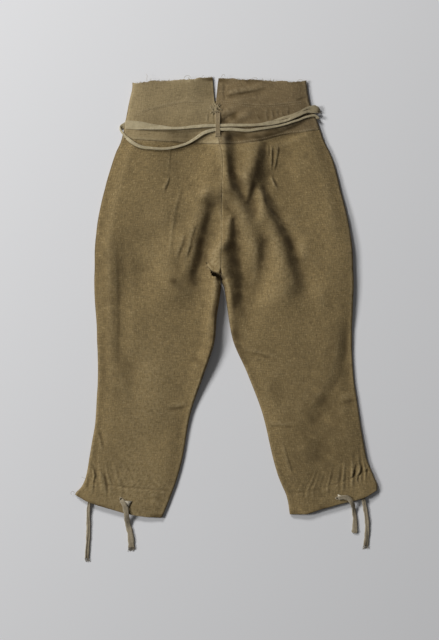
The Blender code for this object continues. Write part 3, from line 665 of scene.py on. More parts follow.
# The folds of the seat, where the spare cloth of the full back hangs down from the waist:
# each line is a crest, a lip or a trough, with x, down and the rise over the plain back.
# Between the lines the cloth bends smoothly, and it dies out into the plain back at REST.
SEAT_FOLDS = {
    "beside the left fold": [
        (-98, 160, -10), (-102, 190, -10.5), (-106, 224, -7.5), (-119, 262, -2.5), (-134, 300, 0),
        (-149, 339, -4.5), (-166, 377, -2.5), (-181, 415, -9.5), (-196, 458, -5), (-209, 501, 0.5),
    ],
    "crest of the left fold": [
        (-60, 228, -2), (-75, 262, -0.5), (-89, 302, 0), (-104, 341, 3), (-119, 375, 3.5),
        (-132, 411, 4.5), (-149, 449, -0.5), (-166, 488, 0.5), (-179, 522, 0),
    ],
    "slope of the left fold": [
        (-60, 268, 3), (-70, 298, 4), (-83, 332, 5.5), (-96, 366, 4.5), (-106, 398, 3), (-115, 432, 7.5),
    ],
    "lip of the left fold": [
        (-47, 268, 1), (-49, 292, 0.5), (-55, 313, 1.5), (-61, 334, 1), (-66, 358, 1), (-70, 381, 0),
        (-78, 403, 1), (-83, 424, -0.5),
    ],
    "trough of the left fold": [
        (-38, 273, -3.5), (-40, 294, -5.5), (-46, 315, -4.5), (-51, 337, -5), (-56, 358, -6.5),
        (-62, 381, -5.5), (-68, 403, -5.5), (-75, 424, -4.5), (-81, 452, 0.5),
    ],
    "left of the sunk strip": [
        (-29, 279, -6), (-31, 300, -7), (-36, 322, -7.5), (-42, 347, -8.5), (-47, 373, -10),
        (-52, 398, -9.5), (-59, 426, -10), (-66, 458, -2.5), (-72, 488, -1.5), (-79, 518, 0),
    ],
    "sunk strip": [(-17, 288, -2), (-17, 313, -3.5), (-19, 343, 0), (-28, 373, 7), (-36, 398, 5.5)],
    "arch over the strip": [(-49, 247, 10), (-32, 241, 9.5), (-13, 243, 11.5), (0, 258, 10)],
    "under the arch": [(-36, 262, 2.5), (-23, 268, 0), (-9, 271, 2.5), (0, 281, 1)],
    "bulge left of the seam": [(-49, 155, -7.5), (-47, 190, -5), (-45, 219, 0.5)],
    "bulge at the seam": [(-26, 138, 2.5), (-21, 168, 6), (-19, 198, 4), (-13, 224, 10.5)],
    "lip of the crevice": [
        (5, 292, 2), (4, 313, 7), (3, 334, 6.5), (0, 349, 6), (-13, 360, 11.5), (-13, 373, 10),
        (-2, 383, 6.5), (-1, 407, 11.5), (0, 432, 11.5), (1, 458, 11), (2, 484, 8), (4, 505, 5.5),
        (7, 528, 3),
    ],
    "crevice": [
        (13, 305, 0), (17, 328, -1), (19, 351, -5), (17, 373, -8), (20, 398, -6), (27, 424, -6),
        (32, 454, -8.5), (36, 481, -10.5), (39, 503, -8), (43, 524, -4.5), (47, 547, -1),
    ],
    "crest right of the crevice": [
        (11, 247, 11.5), (18, 273, 10), (24, 300, 6.5), (30, 328, 4), (34, 358, -1.5), (40, 388, -3.5),
        (49, 417, -6), (60, 449, -10.5), (70, 481, -3.5), (79, 507, -1), (83, 535, 0),
    ],
    "slope right of it": [(30, 277, 9), (40, 302, 10.5), (49, 328, 9.5)],
    "over the hollow": [(60, 322, 8), (72, 325, 6.5)],
    "lip of the hollow": [(53, 349, 8.5), (62, 368, 5), (62, 390, -0.5), (58, 415, -5), (53, 439, -8.5)],
    "hollow": [(74, 338, 3), (78, 352, -1), (78, 370, -4), (76, 390, -5.5), (72, 415, -8), (68, 441, -9)],
    "right of the hollow": [
        (92, 372, 1), (91, 402, -2), (90, 437, -1), (94, 471, 4), (102, 501, 2),
        (106, 530, 0.5),
    ],
    "lip of the first valley": [
        (-5, 130, 3.5), (-4, 158, 11), (-2, 185, 11), (1, 213, 12), (9, 234, 11.5), (21, 253, 9),
    ],
    "first valley": [
        (4, 132, -2.5), (7, 160, 2.5), (11, 187, 1.5), (15, 215, -0.5), (23, 239, 1), (37, 262, 2),
    ],
    "ridge between the valleys": [(34, 132, 2), (38, 160, 6), (38, 187, 10), (36, 213, 11), (34, 234, 3)],
    "lip of the second valley": [
        (70, 132, 3.5), (65, 155, 6.5), (60, 177, 10), (54, 198, 10.5), (50, 219, 9), (46, 241, 5),
        (42, 260, 0.5),
    ],
    "second valley": [
        (80, 132, 2.5), (81, 155, -3.5), (78, 177, -2.5), (71, 198, -1), (64, 219, 1), (55, 243, -1),
        (47, 268, -4),
    ],
    "right of the second valley": [
        (92, 136, 0.5), (92, 160, -4.5), (88, 183, -5), (81, 207, -7), (72, 226, -4.5),
    ],
    "foot of the ridge": [(55, 283, -1), (64, 309, 8.5)],
    "crest of the right fold": [
        (64, 241, 0.5), (64, 266, 1), (71, 292, 8.5), (83, 317, 8.5), (96, 341, 8), (104, 366, 7.5),
        (111, 394, 7.5), (116, 424, 8), (121, 458, 8.5),
    ],
    "lip of the right fold": [
        (68, 239, -1), (75, 260, 4), (83, 281, 4.5), (93, 300, 4), (105, 317, 3), (115, 339, 2),
        (124, 362, 1.5), (131, 388, 2), (136, 411, 2), (141, 437, 4), (145, 460, 2),
    ],
    "trough of the right fold": [
        (78, 239, -9), (85, 260, -6), (93, 279, -4), (102, 296, -5), (116, 315, -6.5), (128, 339, -7.5),
        (137, 362, -9.5), (146, 388, -9), (153, 411, -7.5), (159, 437, -6), (162, 460, -3),
        (164, 481, -0.5),
    ],
    "beside the right fold": [
        (92, 234, -9.5), (100, 258, -11), (113, 283, -11), (132, 307, -7.5), (149, 341, -7),
        (158, 371, -4), (166, 400, -8.5), (175, 430, -6.5), (179, 462, -2), (183, 492, -0.5),
    ],
    "right of the seat": [
        (109, 138, -1.5), (113, 168, -9.5), (115, 198, -10), (124, 236, -11.5), (141, 271, -10),
        (162, 305, -7), (173, 347, -3), (183, 386, -3), (192, 424, -4), (196, 466, 1), (200, 509, 0),
    ],
    "far right of the seat": [(153, 138, 0.5), (155, 181, -2.5), (164, 224, -5.5), (183, 266, -3.5)],
}
REST_STEP = 34
REST_DOWN, REST_SIDES = (118, 590), (-247, 226)
REST_ACROSS, REST_ENDS = (-226, 226), (104, 582)
REST_HIP_DOWN, REST_HIP = (155, 209, 262), (-208, -162)
REST = [(x, down, 0) for down in range(*REST_DOWN, REST_STEP) for x in REST_SIDES]
REST += [(x, down, 0) for x in range(*REST_ACROSS, REST_STEP) for down in REST_ENDS]
REST += [(x, down, 0) for x in REST_HIP for down in REST_HIP_DOWN]
FOLD_SPACING = 7.7
FOLD_SCALE = 100.0
CLOTH_GIVE = 0.0009
NO_GAP = 1e-9
AT_ONCE = 3000
SEAT_AREA = (-247, 226, 104, 582)
AREA_FADE = 26.0


def bent_cloth(lines, rest):
    """The rise of cloth that bends as little as it can between all the points given."""
    rows = np.vstack([through(line, FOLD_SPACING) for line in lines] + [np.array(rest, float)])
    held, heights = rows[:, :2] / FOLD_SCALE, rows[:, 2]
    count = len(rows)

    def stiffness(gap):
        return gap ** 2 * np.log(gap + NO_GAP)

    gaps = np.linalg.norm(held[:, None] - held[None], axis=2)
    plane = np.c_[np.ones(count), held]
    system = np.zeros((count + 3, count + 3))
    system[:count, :count] = stiffness(gaps) + CLOTH_GIVE * np.eye(count)
    system[:count, count:] = plane
    system[count:, :count] = plane.T
    pulls = np.linalg.solve(system, np.r_[heights, 0.0, 0.0, 0.0])

    def rise(x, down):
        at = np.stack([x, down], axis=-1) / FOLD_SCALE
        result = np.empty(len(at))
        for first in range(0, len(at), AT_ONCE):
            some = at[first:first + AT_ONCE]
            bent = stiffness(np.linalg.norm(some[:, None] - held[None], axis=2)) @ pulls[:count]
            result[first:first + AT_ONCE] = bent + pulls[count] + some @ pulls[count + 1:]
        return result

    return rise


SEAT_RISE = bent_cloth(SEAT_FOLDS.values(), REST)

# The other broad folds, each drawn by its line on the cloth and its section from the
# light side to the lee side: pairs of offset and height, zero at both ends. The
# offsets are multiplied by spread from the start of the line to its end, and fade says
# over which share of the line the fold comes up and dies out.
LEE_SIDE = np.array([0.9, 0.45])
Fold = namedtuple("Fold", "line section spread fade")
FOLDS = [
    # along the left edge
    Fold(
        [(-250, 290), (-243, 370), (-239, 440), (-238, 520), (-240, 590), (-236, 660)],
        [(-26, 0), (-11, 1.2), (0, 0), (9, -2.2), (17, -2.0), (38, 0)],
        (1.0, 1.0), (0.4, 0.3),
    ),
    # the long fold that crosses the right leg from its side to its inner edge
    Fold(
        [(256, 480), (251, 528), (246, 575), (234, 624), (218, 658), (203, 680), (189, 702), (178, 735),
         (172, 775)],
        [(-64, 0), (-34, 1.6), (-16, 1.8), (12, -1.8), (28, -2.0), (64, 0)],
        (1.0, 0.8), (0.3, 0.3),
    ),
    # the legs
    Fold([(-238, 584), (-226, 690)], [(-34, 0), (0, 1.6), (30, -2.4), (70, 0)], (1.0, 1.0), (0.4, 0.4)),
    Fold([(-150, 560), (-152, 760)], [(-60, 0), (0, 3), (60, 0)], (1.0, 1.0), (0.4, 0.4)),
    Fold([(90, 630), (104, 710)], [(-50, 0), (-20, 1.2), (18, -2), (56, 0)], (1.0, 1.0), (0.4, 0.4)),
    Fold([(232, 690), (284, 680)],
         [(-20, 0), (-8, 0.8), (0, 0), (6, -1.4), (12, -1), (26, 0)], (1.0, 1.0), (0.4, 0.2)),
    Fold([(165, 756), (188, 834)], [(-40, 0), (-14, 1.4), (20, -2), (54, 0)], (1.0, 1.0), (0.4, 0.4)),
    # the waistband
    Fold([(-6, 38), (20, 34), (60, 27), (92, 17)],
         [(-16, 0), (-6, 1.3), (0, 0.8), (3, -1.2), (7, -1.2), (18, 0)], (0.8, 1.2), (0.15, 0.4)),
    Fold([(-18, 98), (-4, 82), (30, 64)], [(-18, 0), (-8, 1.2), (0, 0), (6, -2.4), (11, -2), (22, 0)],
         (1.0, 1.0), (0.2, 0.5)),
    Fold([(12, 90), (56, 74)], [(-16, 0), (0, 2.2), (14, 0)], (1.0, 1.0), (0.4, 0.4)),
    Fold([(-10, 116), (30, 123), (62, 126), (104, 116), (138, 101), (176, 83)],
         [(-16, 0), (-7, 0.8), (0, -0.5), (6, -3.6), (14, -4), (34, 0)], (1.0, 1.0), (0.12, 0.2)),
]

# The narrow creases: a small ridge that drops sharply on its lee side.
Crease = namedtuple("Crease", "line rise wide drop lee steep")
CREASES = [Crease(*row) for row in [
    ([(-66, 300), (-80, 350), (-92, 400)], 0.7, 6, 1.2, 6, 3),
    ([(-122, 136), (-125, 180), (-126, 216)], 0.5, 4, 0.9, 3, 1.8),
    ([(-125, 206), (-128, 222), (-139, 248)], 1.2, 6, 2.0, 5, 2.5),
    ([(-50, 392), (-40, 402), (-29, 416)], 1.0, 6, 2.4, 5, 2.5),
    ([(73, 234), (79, 266), (93, 289), (117, 312), (151, 333)], 0.6, 5, 2.4, 5, 2.2),
    ([(-46, 348), (-51, 380), (-51, 404)], 0.5, 4, 1.4, 4, 2),
    ([(-94, 212), (-104, 250), (-116, 300), (-127, 400)], 0.9, 5, 0.8, 8, 4),
    ([(85, 140), (86, 172)], 0.8, 4, 1.6, 4, 2),
    ([(26, 582), (64, 586), (115, 602)], 0.5, 8, 1.3, 7, 3),
    ([(-92, 326), (-98, 352), (-107, 377), (-109, 396)], 1.0, 7, 2.4, 7, 4),
    ([(-76, 352), (-84, 368), (-89, 384)], 0.5, 6, 1.4, 6, 3),
    ([(93, 140), (93, 175), (92, 205)], 1.3, 4, 2.4, 4, 2.2),
    ([(103, 138), (106, 158), (101, 184), (95, 208)], 1.5, 5, 2.6, 4, 2.4),
    ([(92, 206), (96, 222), (107, 238)], 1.6, 5, 2.6, 5, 2.4),
    ([(94, 212), (101, 232), (112, 246)], 0.8, 4, 1.6, 4, 2.2),
    ([(-152, 554), (-138, 572)], 0.3, 12, 1.6, 14, 8),
    ([(-80, 603), (-62, 622)], 0.3, 12, 1.6, 14, 8),
    ([(-134, 702), (-108, 700), (-80, 696)], 0.8, 9, 1.8, 8, 3.5),
    ([(-281, 750), (-272, 775), (-267, 802)], 0.8, 6, 1.8, 7, 3),
    ([(-297, 818), (-286, 845), (-288, 864), (-290, 896)], 1.4, 7, 3.6, 6, 3),
    ([(-276, 836), (-266, 856), (-258, 895)], 1.0, 6, 2.0, 6, 3),
    ([(271, 818), (268, 838), (261, 856)], 1.2, 5, 2.6, 5, 2.5),
    ([(284, 820), (281, 838), (274, 855), (278, 872)], 1.4, 5, 3.0, 5, 2.5),
    ([(296, 828), (292, 846)], 1.0, 5, 2.2, 5, 2.5),
    ([(-166, 896), (-138, 922)], 0.5, 10, 2.4, 14, 8),
    ([(80, 738), (147, 741)], 0.6, 8, 1.4, 7, 3),
    ([(113, 770), (137, 852)], 1.2, 7, 0.9, 6, 3),
    ([(192, 896), (212, 908)], 0.3, 10, 1.8, 12, 8),
    ([(-208, 78), (-144, 63), (-90, 53), (-50, 50)], 0.3, 5, 0.7, 3, 1.6),
    ([(-16, 53), (30, 57), (90, 60), (160, 52)], 0.3, 5, 0.7, 3, 1.6),
    ([(142, 47), (172, 38)], 0.5, 8, 1.8, 5, 3),
    ([(79, 72), (84, 96)], 0.6, 6, 1.8, 5, 3),
    ([(-32, 56), (-32, 104)], 0.5, 3, 0.7, 2.5, 1.3),
    ([(-44, 77), (-44, 98)], 0.8, 3.5, 0.9, 3, 1.5),
    ([(-13, 6), (-12, 34), (-14, 52)], 1.0, 7, 1.8, 6, 3),
]]
# The short puckers under the waist seam, right of the split: where each starts and ends, and
# how strong it is beside a crease.
PUCKER_RISE, PUCKER_DROP = 0.8, 1.2
PUCKERS = [
    ((78, 64), (90, 86), 0.7), ((92, 70), (97, 92), 1.0), ((104, 66), (106, 88), 0.6),
    ((112, 74), (121, 90), 0.9), ((126, 62), (129, 84), 0.6), ((60, 84), (72, 98), 0.6),
]
for start, end, strength in PUCKERS:
    CREASES.append(Crease([start, end], PUCKER_RISE * strength, 4, PUCKER_DROP * strength, 4, 2))
PATH_STEP = 2.0


def along_line(line, reach, x, down):
    """Which points lie within reach of a line, their lee offset and their share along it."""
    if len(line) == 2:
        line = [line[0], np.mean(line, axis=0), line[1]]
    path = through(line, PATH_STEP)
    low, high = path.min(axis=0) - reach, path.max(axis=0) + reach
    near = (x > low[0]) & (x < high[0]) & (down > low[1]) & (down < high[1])
    heading = unit(np.gradient(path, axis=0))
    lee = np.stack([-heading[:, 1], heading[:, 0]], axis=-1)
    lee *= np.sign((lee * LEE_SIDE).sum(axis=1, keepdims=True))
    offset_x = x[near][:, None] - path[:, 0]
    offset_down = down[near][:, None] - path[:, 1]
    k = (offset_x ** 2 + offset_down ** 2).argmin(axis=1)
    row = np.arange(len(k))
    side = offset_x[row, k] * lee[k, 0] + offset_down[row, k] * lee[k, 1]
    past = offset_x[row, k] * heading[k, 0] + offset_down[row, k] * heading[k, 1]
    return near, side, np.clip((k + past / PATH_STEP) / (len(path) - 1), 0.0, 1.0)


def dying_out(t, start, end=None):
    """1 along a line, easing to 0 over the start and the end share of its length."""
    return ease(t / start) * ease((1 - t) / (end or start))


def fold_relief(x, down):
    """Rise of the back over its plain height, from every fold and crease together."""
    total = np.zeros(x.shape)
    left, right, top, bottom = SEAT_AREA
    inside = (x > left) & (x < right) & (down > top) & (down < bottom)
    spot_x, spot_down = x[inside], down[inside]
    from_side = ease((spot_x - left) / AREA_FADE) * ease((right - spot_x) / AREA_FADE)
    from_end = ease((spot_down - top) / AREA_FADE) * ease((bottom - spot_down) / AREA_FADE)
    total[inside] = SEAT_RISE(spot_x, spot_down) * from_side * from_end
    for fold in FOLDS:
        offsets, heights = np.array(fold.section, float).T
        section = smooth_line(offsets, heights, flat_ends=True)
        near, side, t = along_line(fold.line, np.abs(offsets).max() * max(fold.spread), x, down)
        spread = fold.spread[0] + (fold.spread[1] - fold.spread[0]) * t
        total[near] += dying_out(t, *fold.fade) * section(side / spread)
    for crease in CREASES:
        near, side, t = along_line(crease.line, 3.0 * max(crease.wide, crease.lee), x, down)
        ridge = crease.rise * np.exp(-((side / crease.wide) ** 2))
        fall = (crease.rise + crease.drop) * np.exp(-((side / crease.steep) ** 2))
        trough = fall - crease.drop * np.exp(-((side / crease.lee) ** 2))
        total[near] += dying_out(t, 1 / 3) * np.where(side < 0, ridge, trough)
    return total


# The casing at each hem is the hem turned up and stitched, with the drawstring inside. The
# pulled string gathers the cloth: short puckers run up and down from the stitch line.
CASING = {
    "left": smooth_line([-330, -268, -200, -112], [846, 866, 874, 882]),
    "right": smooth_line([130, 175, 207, 243, 300, 322], [886, 881, 874, 862, 838, 828]),
}
GATHER = {
    "left": smooth_line([-330, -290, -250, -220, -110], [1.6, 1.5, 0.9, 0.4, 0.35]),
    "right": smooth_line([130, 180, 200, 240, 270, 322], [0.4, 0.6, 0.7, 1.1, 1.9, 1.5]),
}


# the puckers: pitch, how far they stray from it, over which distance, and their share
Gather = namedtuple("Gather", "pitch stray size seed share")
GATHERS = [Gather(2.9, 2.0, 23, 5, 0.6), Gather(1.75, 1.7, 17, 6, 0.4)]
GATHER_SPREAD = 0.006
SPREAD_FROM = {"left": -300.0, "right": 260.0}
GATHER_UP, GATHER_DOWN = 34.0, 17.0
CASING_WIDTH = 60.0
CASING_STANDS = 0.42
STITCH_SINKS = 0.45
STITCH_WIDE = 2.2


def gathers(side, x, down):
    above = CASING[side](x) - down
    fan = x + (x - SPREAD_FROM[side]) * GATHER_SPREAD * np.clip(above, 0, CASING_WIDTH)
    wave = 0.0
    for row in GATHERS:
        stray = row.stray * ripple(fan, down * 0, row.size, row.seed)
        wave = wave + row.share * np.sin(fan / row.pitch + stray)
    fade = np.exp(-((above / np.where(above > 0, GATHER_UP, GATHER_DOWN)) ** 2))
    stitched = np.exp(-((above / STITCH_WIDE) ** 2))
    casing = ease(-above / 5) * ease((above + CASING_WIDTH) / 12)
    pulled = GATHER[side](x) * wave * fade * (1 - 0.6 * stitched)
    return pulled - STITCH_SINKS * stitched + CASING_STANDS * casing


SEAM_TOP = 130.0
SEAM_RIDGE = 0.45
SEAM_ALLOWANCE = 15.0
SEAM_GROOVE = 0.5
GROOVE_WIDE = 1.3


def seams(x, down):
    """The seat seam, pressed to one side, between the waist and the fork."""
    off = x - CENTRE_X(down)
    here = ease((down - SEAM_TOP) / 10) * (1 - fork(down))
    ridge = SEAM_RIDGE * ease((off + SEAM_ALLOWANCE) / 4) * ease(-off / 2.5)
    return here * (ridge - SEAM_GROOVE * np.exp(-((off / GROOVE_WIDE) ** 2)))


# Beside the top of the split, where no front lies under them, the halves sink to the table.
SPLIT_DIP = 9.0
SPLIT_LOWER = 2.9
SPLIT_REACH = 55.0
SPLIT_FLAT_DOWN = 30.0
SPLIT_FADE = 44.0
# the small unevenness of laid cloth: its rise and how far apart its waves are
Uneven = namedtuple("Uneven", "rise size seed")
UNEVEN = [Uneven(1.8, 124, 1), Uneven(0.8, 51, 2), Uneven(0.18, 17, 3)]
HEM_FROM, HEM_EASE = 740.0, 40.0


def split_flat(x, down):
    beside = 1.0 - ease(np.abs(x - CENTRE_X(down)) / SPLIT_REACH)
    return beside * (1.0 - ease((down - SPLIT_FLAT_DOWN) / SPLIT_FADE))


def back_height(side, x, down):
    """Height of the back's outer face, apart from its rolled edges."""
    from_outer = np.abs(x - OUTER_X[side](down))
    from_inner = np.abs(x - INNER_X[side](down)) + (1.0 - fork(down)) * SHOULDER
    from_edge = np.minimum(from_outer, from_inner)
    outer = EDGE_HEIGHT + STANDING[side + "_outer"](down)
    inner = EDGE_HEIGHT + STANDING[side + "_inner"](down)
    plain = BACK_HEIGHT(down)
    plain = plain + (outer - plain) * (1.0 - ease(from_outer / SHOULDER))
    plain = plain + (inner - BACK_HEIGHT(down)) * (1.0 - ease(from_inner / SHOULDER))
    soft = sum(row.rise * ripple(x, down, row.size, row.seed) for row in UNEVEN)
    pulled = gathers(side, x, down) * ease((down - HEM_FROM) / HEM_EASE)
    relief = fold_relief(x, down) + soft + seams(x, down) + pulled
    height = plain + relief * ease(from_edge / (3 * ROLL))
    flat = split_flat(x, down)
    lowest = LOWEST_BACK - SPLIT_LOWER * flat
    return lowest + np.logaddexp(0.0, height - SPLIT_DIP * flat - lowest)


def on_back(x, down):
    """Height of the back at single places, on either half."""
    x, down = np.broadcast_arrays(np.asarray(x, float), np.asarray(down, float))
    left = back_height("left", x, down)
    right = back_height("right", x, down)
    return np.where(x < CENTRE_X(down), left, right)


# The tapes' turned ends lie under the front, which is lifted over them a little.
TAPE_LIFT = 1.6
LEFT_TAPE_END = [(184, 68.0), (168, 68.0), (130, 69.0), (90, 72.0), (52, 76.0)]
RIGHT_TAPE_END = [(-228, 101.0), (-212, 100.0), (-170, 99.0), (-130, 97.0), (-92, 95.0)]


TAPE_LIFTED = 24.0
TAPE_CLEAR = 15.0
TAPE_SLOPE = 12.0


def over_tape(x, down, rows):
    order = sorted(rows)
    middle = np.interp(x, [row[0] for row in order], [row[1] for row in order])
    across = ease(1.0 + (TAPE_LIFTED - np.abs(down - middle)) / TAPE_SLOPE)
    start = ease(1.0 + (x - order[0][0] + TAPE_CLEAR) / TAPE_SLOPE)
    end = ease(1.0 + (order[-1][0] + TAPE_CLEAR - x) / TAPE_SLOPE)
    return across * start * end


def front_height(side, x, down):
    return TAPE_LIFT * np.maximum(over_tape(x, down, RIGHT_TAPE_END), over_tape(x, down, LEFT_TAPE_END))


ROLL_STEPS = 6
WIDEST = 250.0
WAVER, WAVER_SIZE, WAVER_REACH = 0.7, 31, 60.0


def laid_panel(side, height, step, levels, top, bottom, inner_roll=True, burst=False):
    """Outer face of one panel as a grid of points, and each point's place on the cut cloth."""
    angles = np.linspace(0.0, math.pi / 2, ROLL_STEPS + 1)
    shares = np.linspace(0.0, 1.0, round((WIDEST - 2 * ROLL) / step) + 1)[1:-1]
    rest = np.ones(len(shares) + ROLL_STEPS + 1)
    outer = np.r_[1 - np.cos(angles), rest]
    outer_lift = np.r_[np.sin(angles), rest]
    share = np.r_[0 * angles, shares, 1 + 0 * angles]
    inner_end = np.cos(angles[::-1]) if inner_roll else np.linspace(0.0, 1.0, ROLL_STEPS + 1)
    inner = np.r_[0 * rest, inner_end]
    inner_lift = np.r_[rest, np.sin(angles[::-1]) if inner_roll else 1 + 0 * angles]
    across = ((outer + inner) * ROLL + share * (USUAL_WIDTH - 2 * ROLL)) / USUAL_WIDTH
    follow = min(FOLLOW_EDGE, levels[-1] - levels[0])
    near_top = ease(1.0 - (levels - levels[0]) / follow)[:, None]
    near_bottom = ease(1.0 - (levels[-1] - levels) / follow)[:, None]
    down = levels[:, None] + near_top * (top(across) - levels[0])
    down = down + near_bottom * (bottom(across) - levels[-1])
    outer_x, inner_x = OUTER_X[side](down), INNER_X[side](down)
    inward = 1.0 if side == "left" else -1.0
    reach = (outer + inner) * ROLL + share * (np.abs(inner_x - outer_x) - 2 * ROLL)
    waver = WAVER * ripple(down, down * 0 + 3, WAVER_SIZE, 11) * (1 - ease(reach / WAVER_REACH))
    x = outer_x + inward * (reach + waver)
    if burst:
        gape = RIP_GAPE * ease((down - RIP_DOWN) / RIP_OPENS) * ease((RIP_END - down) / RIP_CLOSES)
        x = x - gape * np.exp(-np.abs(inner_x - x) / RIP_REACH)
    seam_height = EDGE_HEIGHT / 2 + (SEAM / 2 if height is back_height else -SEAM / 2)
    lift = outer_lift * (1.0 - fork(down) * (1.0 - inner_lift))
    z = seam_height + (height(side, x, down) - seam_height) * lift
    lay = np.stack([inward * reach, down, 0 * down], axis=-1) * MM
    return np.stack([x, down, z], axis=-1), lay


def in_hole(x, down, hole):
    turn = math.radians(hole.turn)
    along = (x - hole.x) * math.cos(turn) - (down - hole.down) * math.sin(turn)
    across = (x - hole.x) * math.sin(turn) + (down - hole.down) * math.cos(turn)
    return (along / hole.length) ** 2 + (across / hole.width) ** 2 < 0.25


def inside_ring(x, down, ring):
    """Which points lie inside a ring of corners."""
    crossings = np.zeros(len(x), int)
    for (x0, d0), (x1, d1) in zip(ring, ring[1:] + ring[:1]):
        between = (down > min(d0, d1)) & (down <= max(d0, d1))
        reach = x0 + (down - d0) * (x1 - x0) / ((d1 - d0) or 1.0)
        crossings += between & (x < reach)
    return crossings % 2 == 1


def cloth_piece(
    name, points, lay, thickness, material, facing_up=True, rub=None, soil=None, holes=(), tear=(),
):
    """A thin shell of cloth: the grid is its outer face, and its thickness lies inside."""
    rows, columns = points.shape[:2]
    index = np.arange(rows * columns).reshape(rows, columns)
    a, b, c, d = index[:-1, :-1], index[:-1, 1:], index[1:, 1:], index[1:, :-1]
    faces = np.stack([a, b, c, d], axis=-1).reshape(-1, 4)
    middles = points.reshape(-1, 3)[faces].mean(axis=1)
    for hole in holes:
        kept = ~in_hole(middles[:, 0], middles[:, 1], hole)
        faces, middles = faces[kept], middles[kept]
    if tear:
        kept = ~inside_ring(middles[:, 0], middles[:, 1], tear)
        faces = faces[kept]
    world = place(points)
    middle = (rows // 2, columns // 2)
    normal = np.cross(np.gradient(world, axis=1)[middle], np.gradient(world, axis=0)[middle])
    if (normal[2] > 0) != facing_up:
        faces = faces[:, ::-1]
    zero = np.zeros((rows, columns))
    piece = new_mesh(
        name, points, faces.tolist(), material,
        lay=lay, rub=zero if rub is None else rub, soil=zero if soil is None else soil,
    )
    shell = piece.modifiers.new("thickness", "SOLIDIFY")
    shell.thickness = thickness * MM
    shell.offset = -1.0
    return piece


SOFTENED = 10
RUB_GAIN = 1.4
HOLLOW_SHADE_GAIN = 1.2


def crests_and_shaded_hollows(points):
    """Where the cloth stands up and is rubbed, and where it lies deep and is painted darker, as painted shade
    in its hollows.
    """
    z = points[..., 2]
    soft = z.copy()
    for _ in range(SOFTENED):
        soft = sum(np.roll(soft, way, axis) for axis in (0, 1) for way in (1, -1)) / 4
    # the hollows, lower than the softened cloth round them, are painted darker: painted shade
    return np.clip((z - soft) * RUB_GAIN, 0.0, 1.0), np.clip((soft - z) * HOLLOW_SHADE_GAIN, 0.0, 1.0)


# Broad paler and darker places, partly wear and soil and partly painted light and shade:
# the left leg is painted paler where the light falls on it, and the right calf, the seat's hollows
# and the band under the tapes are painted darker, with small pools of painted shadow under the
# seat and the tapes. Above 0 a place is paler, below 0 darker.
Tone = namedtuple("Tone", "x down reach_x reach_down rub")
TONES_AND_PAINTED_LIGHT = [Tone(*row) for row in [
    (-166, 645, 70, 120, 0.42), (-209, 890, 100, 90, 0.62), (-205, 770, 70, 90, 0.24),
    (-150, 330, 70, 90, 0.20), (-130, 190, 44, 26, 0.22), (196, 752, 60, 130, -0.62),
    (150, 640, 60, 100, 0.16), (240, 880, 60, 40, 0.25), (-262, 420, 22, 190, -0.40),
    (-240, 470, 14, 80, -0.25), (-246, 815, 40, 60, -0.25), (28, 235, 42, 100, -0.50),
    (118, 190, 60, 70, -0.24), (-14, 255, 24, 20, -0.45), (-4, 362, 9, 9, -0.9),
    (14, 570, 11, 60, -0.5), (235, 560, 34, 40, -0.25), (-232, 620, 40, 60, -0.25),
    (-120, 100, 110, 26, -0.28), (8, 90, 20, 10, -0.5), (72, 82, 14, 12, -0.45),
    (2, 121, 9, 8, -0.9), (-115, 436, 12, 10, -0.85), (-74, 441, 9, 13, -0.85),
    (-92, 446, 26, 18, -0.35), (34, 455, 15, 42, -0.7), (90, 90, 90, 40, -0.15),
]]
# Painted shade in lines: darker along the troughs of the seat's folds, under the waist tapes,
# right of the belt loop, along two creases of the band and by the left thigh's inner edge:
# a line, its reach and its strength.
PAINTED_SHADE_LINES = [
    ([(1, 147), (6, 198), (15, 241), (26, 258)], 6.5, 0.75),
    ([(76, 134), (72, 155), (64, 198), (52, 241), (44, 273)], 7.5, 0.80),
    ([(73, 224), (89, 283), (106, 315), (117, 337), (128, 364), (134, 394), (143, 422), (151, 452)],
     7.5, 0.70),
    ([(-43, 281), (-55, 337), (-65, 379), (-77, 426), (-68, 449)], 7.0, 0.90),
    ([(6, 298), (11, 351), (13, 400), (17, 443), (15, 481), (19, 522)], 11.0, 0.85),
    ([(85, 334), (76, 358), (71, 386), (66, 415)], 7.0, 0.60),
    ([(-92, 347), (-94, 379), (-106, 403), (-119, 445)], 5.5, 0.40),
    ([(8, 505), (16, 545), (26, 585), (38, 625)], 12.0, 0.55),
    ([(-26, 470), (-33, 548), (-50, 628), (-70, 690)], 4.5, 0.40),
    ([(2, 123), (30, 126), (60, 127), (95, 120), (124, 106)], 9.0, 0.95),
    ([(-25, 436), (-23, 455), (-27, 480), (-31, 505), (-35, 556), (-54, 620), (-68, 660)], 8.0, 0.50),
    ([(-13, 80), (-11, 90), (-12, 99)], 6.0, 0.95),
    ([(62, 205), (72, 240), (86, 280), (100, 308)], 5.0, 0.35),
    ([(-6, 39), (20, 35), (60, 27), (84, 20)], 2.6, 0.40),
    ([(150, 47), (171, 39)], 3.0, 0.40),
    ([(-134, 119), (-104, 122), (-78, 121)], 7.0, 0.50),
]


# Wear and soil on the cloth, with painted light and shade: the hollows, the lines above and most of the
# darker tones are painted shade, and the paler tones on the left leg are painted light.
def worn_and_soiled(points):
    worn_and_lit, soiled = crests_and_shaded_hollows(points)
    x, down = points[..., 0], points[..., 1]
    for tone in TONES_AND_PAINTED_LIGHT:
        away = ((x - tone.x) / tone.reach_x) ** 2 + ((down - tone.down) / tone.reach_down) ** 2
        worn_and_lit = worn_and_lit + max(tone.rub, 0.0) * np.exp(-away)
        soiled = soiled + max(-tone.rub, 0.0) * np.exp(-away)
    for line, reach, strength in PAINTED_SHADE_LINES:
        near, side, t = along_line(line, 2.5 * reach, x, down)
        soil = strength * dying_out(t, 1 / 5) * np.exp(-((side / reach) ** 2))
        soiled[near] += soil
        worn_and_lit[near] *= 1.0 - soil
    return np.clip(worn_and_lit, 0.0, 1.0), np.clip(soiled, 0.0, 1.0)


